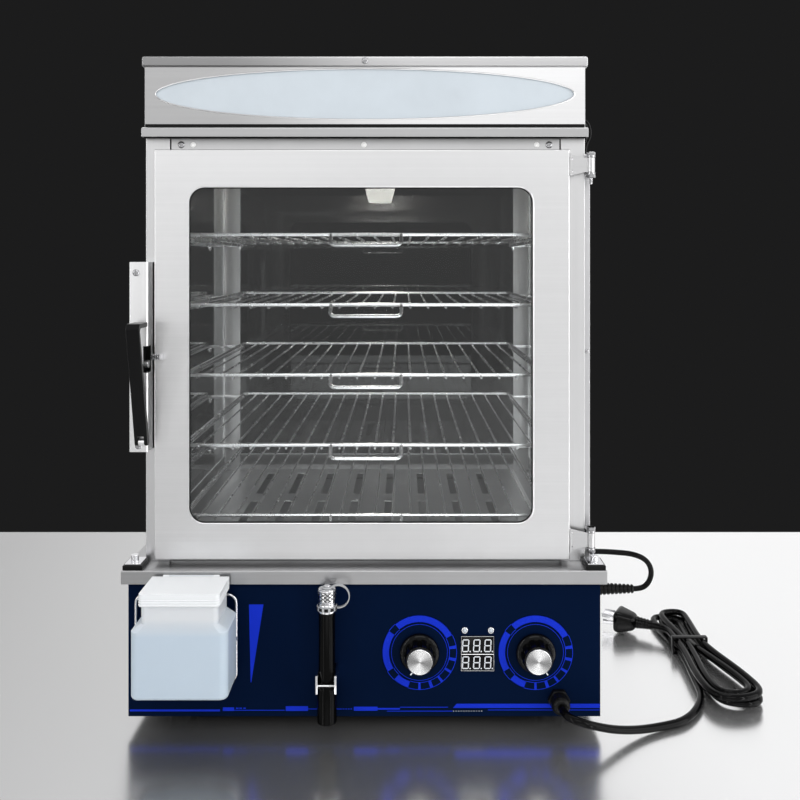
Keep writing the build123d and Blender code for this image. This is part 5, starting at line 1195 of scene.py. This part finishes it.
# %% Display
bezel = block("display_bezel", (0.098, -0.1935, 0.06055), (0.132, -0.192, 0.09605))
open_on(bezel, lambda c, f: f.normal.y < -0.9)
bpy.ops.mesh.inset(thickness=0.0012)
bpy.ops.transform.translate(value=(0, 0.0006, 0))
clear_selection()
round_edges(bezel, 0.0003)
hand_over(bezel, "base", black_gloss, ["display_module"])


def segment(length, thick):
    """One bar of a digit, pointed at both ends, lying along X."""
    half, side = length / 2, thick / 2
    return [
        (-half, 0), (-half + side, -side), (half - side, -side),
        (half, 0), (half - side, side), (-half + side, side),
    ]


digit_faces = []
digit_points = []
digit_y, digit_lean = -0.1930, 0.06
wide, tall = 0.0060, 0.0118


def add_mark(outline):
    """One lit face of the display, from its outline (x, z)."""
    first = len(digit_points)
    digit_points.extend((x, digit_y, z) for x, z in outline)
    digit_faces.append(list(range(first, len(digit_points))))


point_outline = [(0.0008 * cos(pi * n / 3), 0.0008 * sin(pi * n / 3)) for n in range(6)]
for row_z in (0.0862, 0.0690):
    for column in (-1, 0, 1):
        middle = 0.1142 + column * 0.0113
        bars = [(0, tall / 2, 0), (0, 0, 0), (0, -tall / 2, 0)]
        bars += [(side * wide / 2, up * tall / 4, 1) for side in (-1, 1) for up in (-1, 1)]
        for x, z, on_end in bars:
            shape = segment(tall / 2 - 0.0003 if on_end else wide - 0.0002, 0.0011)
            if on_end:
                shape = [(v, u) for u, v in shape]
            add_mark([(middle + x + u + digit_lean * (z + v), row_z + z + v) for u, v in shape])
        add_mark([(middle + 0.0046 + u, row_z - tall / 2 + v) for u, v in point_outline])
digits = from_points("display_digits", digit_points, [], digit_faces)
modify(digits, "SOLIDIFY", thickness=0.0001, offset=0)
open_on(digits)
bpy.ops.mesh.normals_make_consistent(inside=False)
hand_over(digits, "base", print_white, smooth=0)
left, right, front, low, middle, high = 0.0985, 0.1315, -0.1934, 0.0609, 0.0776, 0.0957
edge = [(left, front, low), (right, front, low), (right, front, high), (left, front, high)]
lines = [
    rod("display_line", edge, 0.00035, closed=True, sides=1),
    rod("display_line", [(left, front, middle), (right, front, middle)], 0.00035, sides=1),
]
hand_over(join("display_frame", lines), "base", spun)

# %% Indicator lamps
bezel_profile = [
    (0.0001, 0), (0.0036, 0), (0.0034, 0.0010), (0.0028, 0.0016), (0.0022, 0.0017), (0.0020, 0.0010),
    (0.0001, 0.0010),
]
lens_profile = [(0.0001, 0.0008), (0.0019, 0.0008), (0.0018, 0.0016), (0.0012, 0.0022), (0.0001, 0.0024)]
bezels = []
lenses = []
for x in (0.102, 0.1287):
    at = (x, panel_face, 0.1016)
    bezels.append(turned("lamp_bezel", bezel_profile, at, (0, -1, 0), 28))
    lenses.append(turned("lamp_lens", lens_profile, at, (0, -1, 0), 20))
hand_over(join("indicator_bezels", bezels), "base", chrome, ["indicator_lamps"])
hand_over(join("indicator_lenses", lenses), "base", frosted)

# %% [markdown]
# ## Water tank
# The tank is a blow-moulded bottle of milky plastic: wide soft corners, a sloped
# shoulder and a rectangular neck. Its solid has those forms, so the copy only needs
# softer edges. The lid's skirt carries fine ribs for the fingers.

# %% Tank and lid
tank = fair_copy("water_tank", 0.0016, 3, 30)
hand_over(tank, "base", tank_milky, ["water_tank"], smooth=50, even=True)
lid_sheet = fair_copy("tank_lid", 0.0007, 3)
lid_left, lid_right, lid_front, skirt_back = -0.2128, -0.1352, -0.2526, -0.2060
ribs = []
for z in (0.1496, 0.1520, 0.1544):
    corners = [
        (lid_left, skirt_back, z), (lid_left, lid_front, z),
        (lid_right, lid_front, z), (lid_right, skirt_back, z),
    ]
    ribs.append(rod("lid_rib", bent(corners, 0.004), 0.00045, sides=1))
lid = join("tank_lid_cover", [lid_sheet] + ribs)
hand_over(lid, "tank_lid", lid_milky, ["tank_lid"], even=True)

# %% [markdown]
# ## Drain hose and its cap
# Hose, nozzle and cap are round, so each is turned. The hose flares at the elbow. The
# cap is knurled: every face round its side is poked, which gives rows of small
# pyramids, and a thin band over them carries painted shade: dark lines that cross as
# diamonds, where the knurl's grooves lie in shade.


# %% Knurled chrome
def knurl_shade_finish(name, centre, count, pitch):
    """Chrome with painted shade: dark lines that cross as diamonds round an upright axis, for the knurl's
    grooves in shade.
    """
    finish = chromed(name, grey(0.80, 0.01), 0.14, film=0.03)
    tree, shader = finish.node_tree, shader_of(finish)
    centred = add_node(tree, "VectorMath", {0: here(tree), 1: centre}, operation="SUBTRACT")
    parts = parts_of(tree, (centred, 0))
    around = reckon(tree, "ARCTAN2", (parts, "Y"), (parts, "X"))
    upward = reckon(tree, "MULTIPLY", (parts, "Z"), pi / pitch)
    waves = []
    for lean in (-count / 2, count / 2):
        wave = reckon(tree, "SINE", reckon(tree, "MULTIPLY_ADD", around, lean, upward))
        waves.append(reckon(tree, "ABSOLUTE", wave))
    tone = remap(tree, reckon(tree, "MINIMUM", *waves), (0.20, 0.75), (0.03, 1.0))
    plain = shader.inputs["Base Color"].links[0]
    feed(tree, shader, {"Base Color": scaled(tree, (plain.from_node, plain.from_socket.name), tone)})
    return finish


# %% Hose and nozzle
hose_x, hose_y = -0.0365, -0.210
hose_at = (hose_x, hose_y, 0)
hose = turned(
    "hose_skin",
    [(0.0001, 0.042), (0.00975, 0.042), (0.00975, 0.0450), (0.0090, 0.0500), (0.0084, 0.0600),
     (0.0082, 0.0800), (0.0082, 0.1240), (0.0088, 0.1265), (0.0088, 0.1280), (0.0001, 0.1280)],
    hose_at, steps=48,
)
hand_over(hose, "base", hose_rubber, ["drain_hose"])
nozzle = turned(
    "nozzle_ring",
    [(0.0001, 0.1270), (0.0084, 0.1270), (0.0090, 0.1284), (0.0090, 0.1298), (0.0086, 0.1304),
     (0.0086, 0.1336), (0.0090, 0.1342), (0.0090, 0.1354), (0.0086, 0.1360), (0.0060, 0.1360),
     (0.0060, 0.1490), (0.0001, 0.1490)],
    hose_at, steps=48,
)
hand_over(nozzle, "base", chrome, ["drain_nozzle"])
slots = []
for n in range(10):
    slot_block = block("slot", (0.0092, -0.0019, 0.1304), (0.0101, 0.0019, 0.1336))
    slot_block.data.transform(Matrix.Translation(hose_at) @ Matrix.Rotation(2 * pi * (n + 0.5) / 10, 4, "Z"))
    slots.append(round_edges(slot_block, 0.0001, 1))
hand_over(join("tether_slots", slots), "base", rubber)

# %% Knurled cap
knurl_low, knurl_rows, knurl_row = 0.1394, 5, 0.0019
knurl_high = knurl_low + knurl_rows * knurl_row
knurl_radius = 0.0082
profile = [
    (0.0001, 0.1362), (0.0084, 0.1362), (0.0088, 0.1366), (0.0088, 0.1378), (0.0080, 0.1382),
    (0.0080, 0.1390),
]
profile += [(knurl_radius, knurl_low + n * knurl_row) for n in range(knurl_rows + 1)]
profile += [
    (0.0079, 0.1494), (0.0085, 0.1498), (0.0085, 0.1506), (0.0080, 0.1510), (0.0031, 0.1511),
    (0.0030, 0.1534), (0.0024, 0.1542), (0.0001, 0.1542),
]
cap = turned("knurled_cap", profile, hose_at, steps=26)
open_on(cap, lambda c, f: knurl_low < c.z < knurl_high and hypot(c.x - hose_x, c.y - hose_y) > 0.0080)
bpy.ops.mesh.poke(offset=0.0008, use_relative_offset=False)
clear_selection()
hand_over(cap, "drain_cap", chrome, ["drain_cap"], smooth=12)
knurl_shade_band = turned(
    "knurl_shade_band", [(0.0080, 0.1394), (0.0088, 0.1394), (0.0089, 0.1440), (0.0088, 0.1488), (0.0080, 0.1488)],
    hose_at, steps=48,
)
hand_over(knurl_shade_band, "drain_cap", knurl_shade_finish("knurl_painted_shade_chrome", hose_at, 11, 0.0037))

# %% Hose clip
clip = fair_copy("hose_clip", 0.0003)
to_axis = Matrix.Translation((hose_x, 0, 0))
clip.data.transform(to_axis @ Matrix.Diagonal((0.84, 1, 1, 1)) @ to_axis.inverted())
hand_over(clip, "base", chrome, ["hose_clip"])
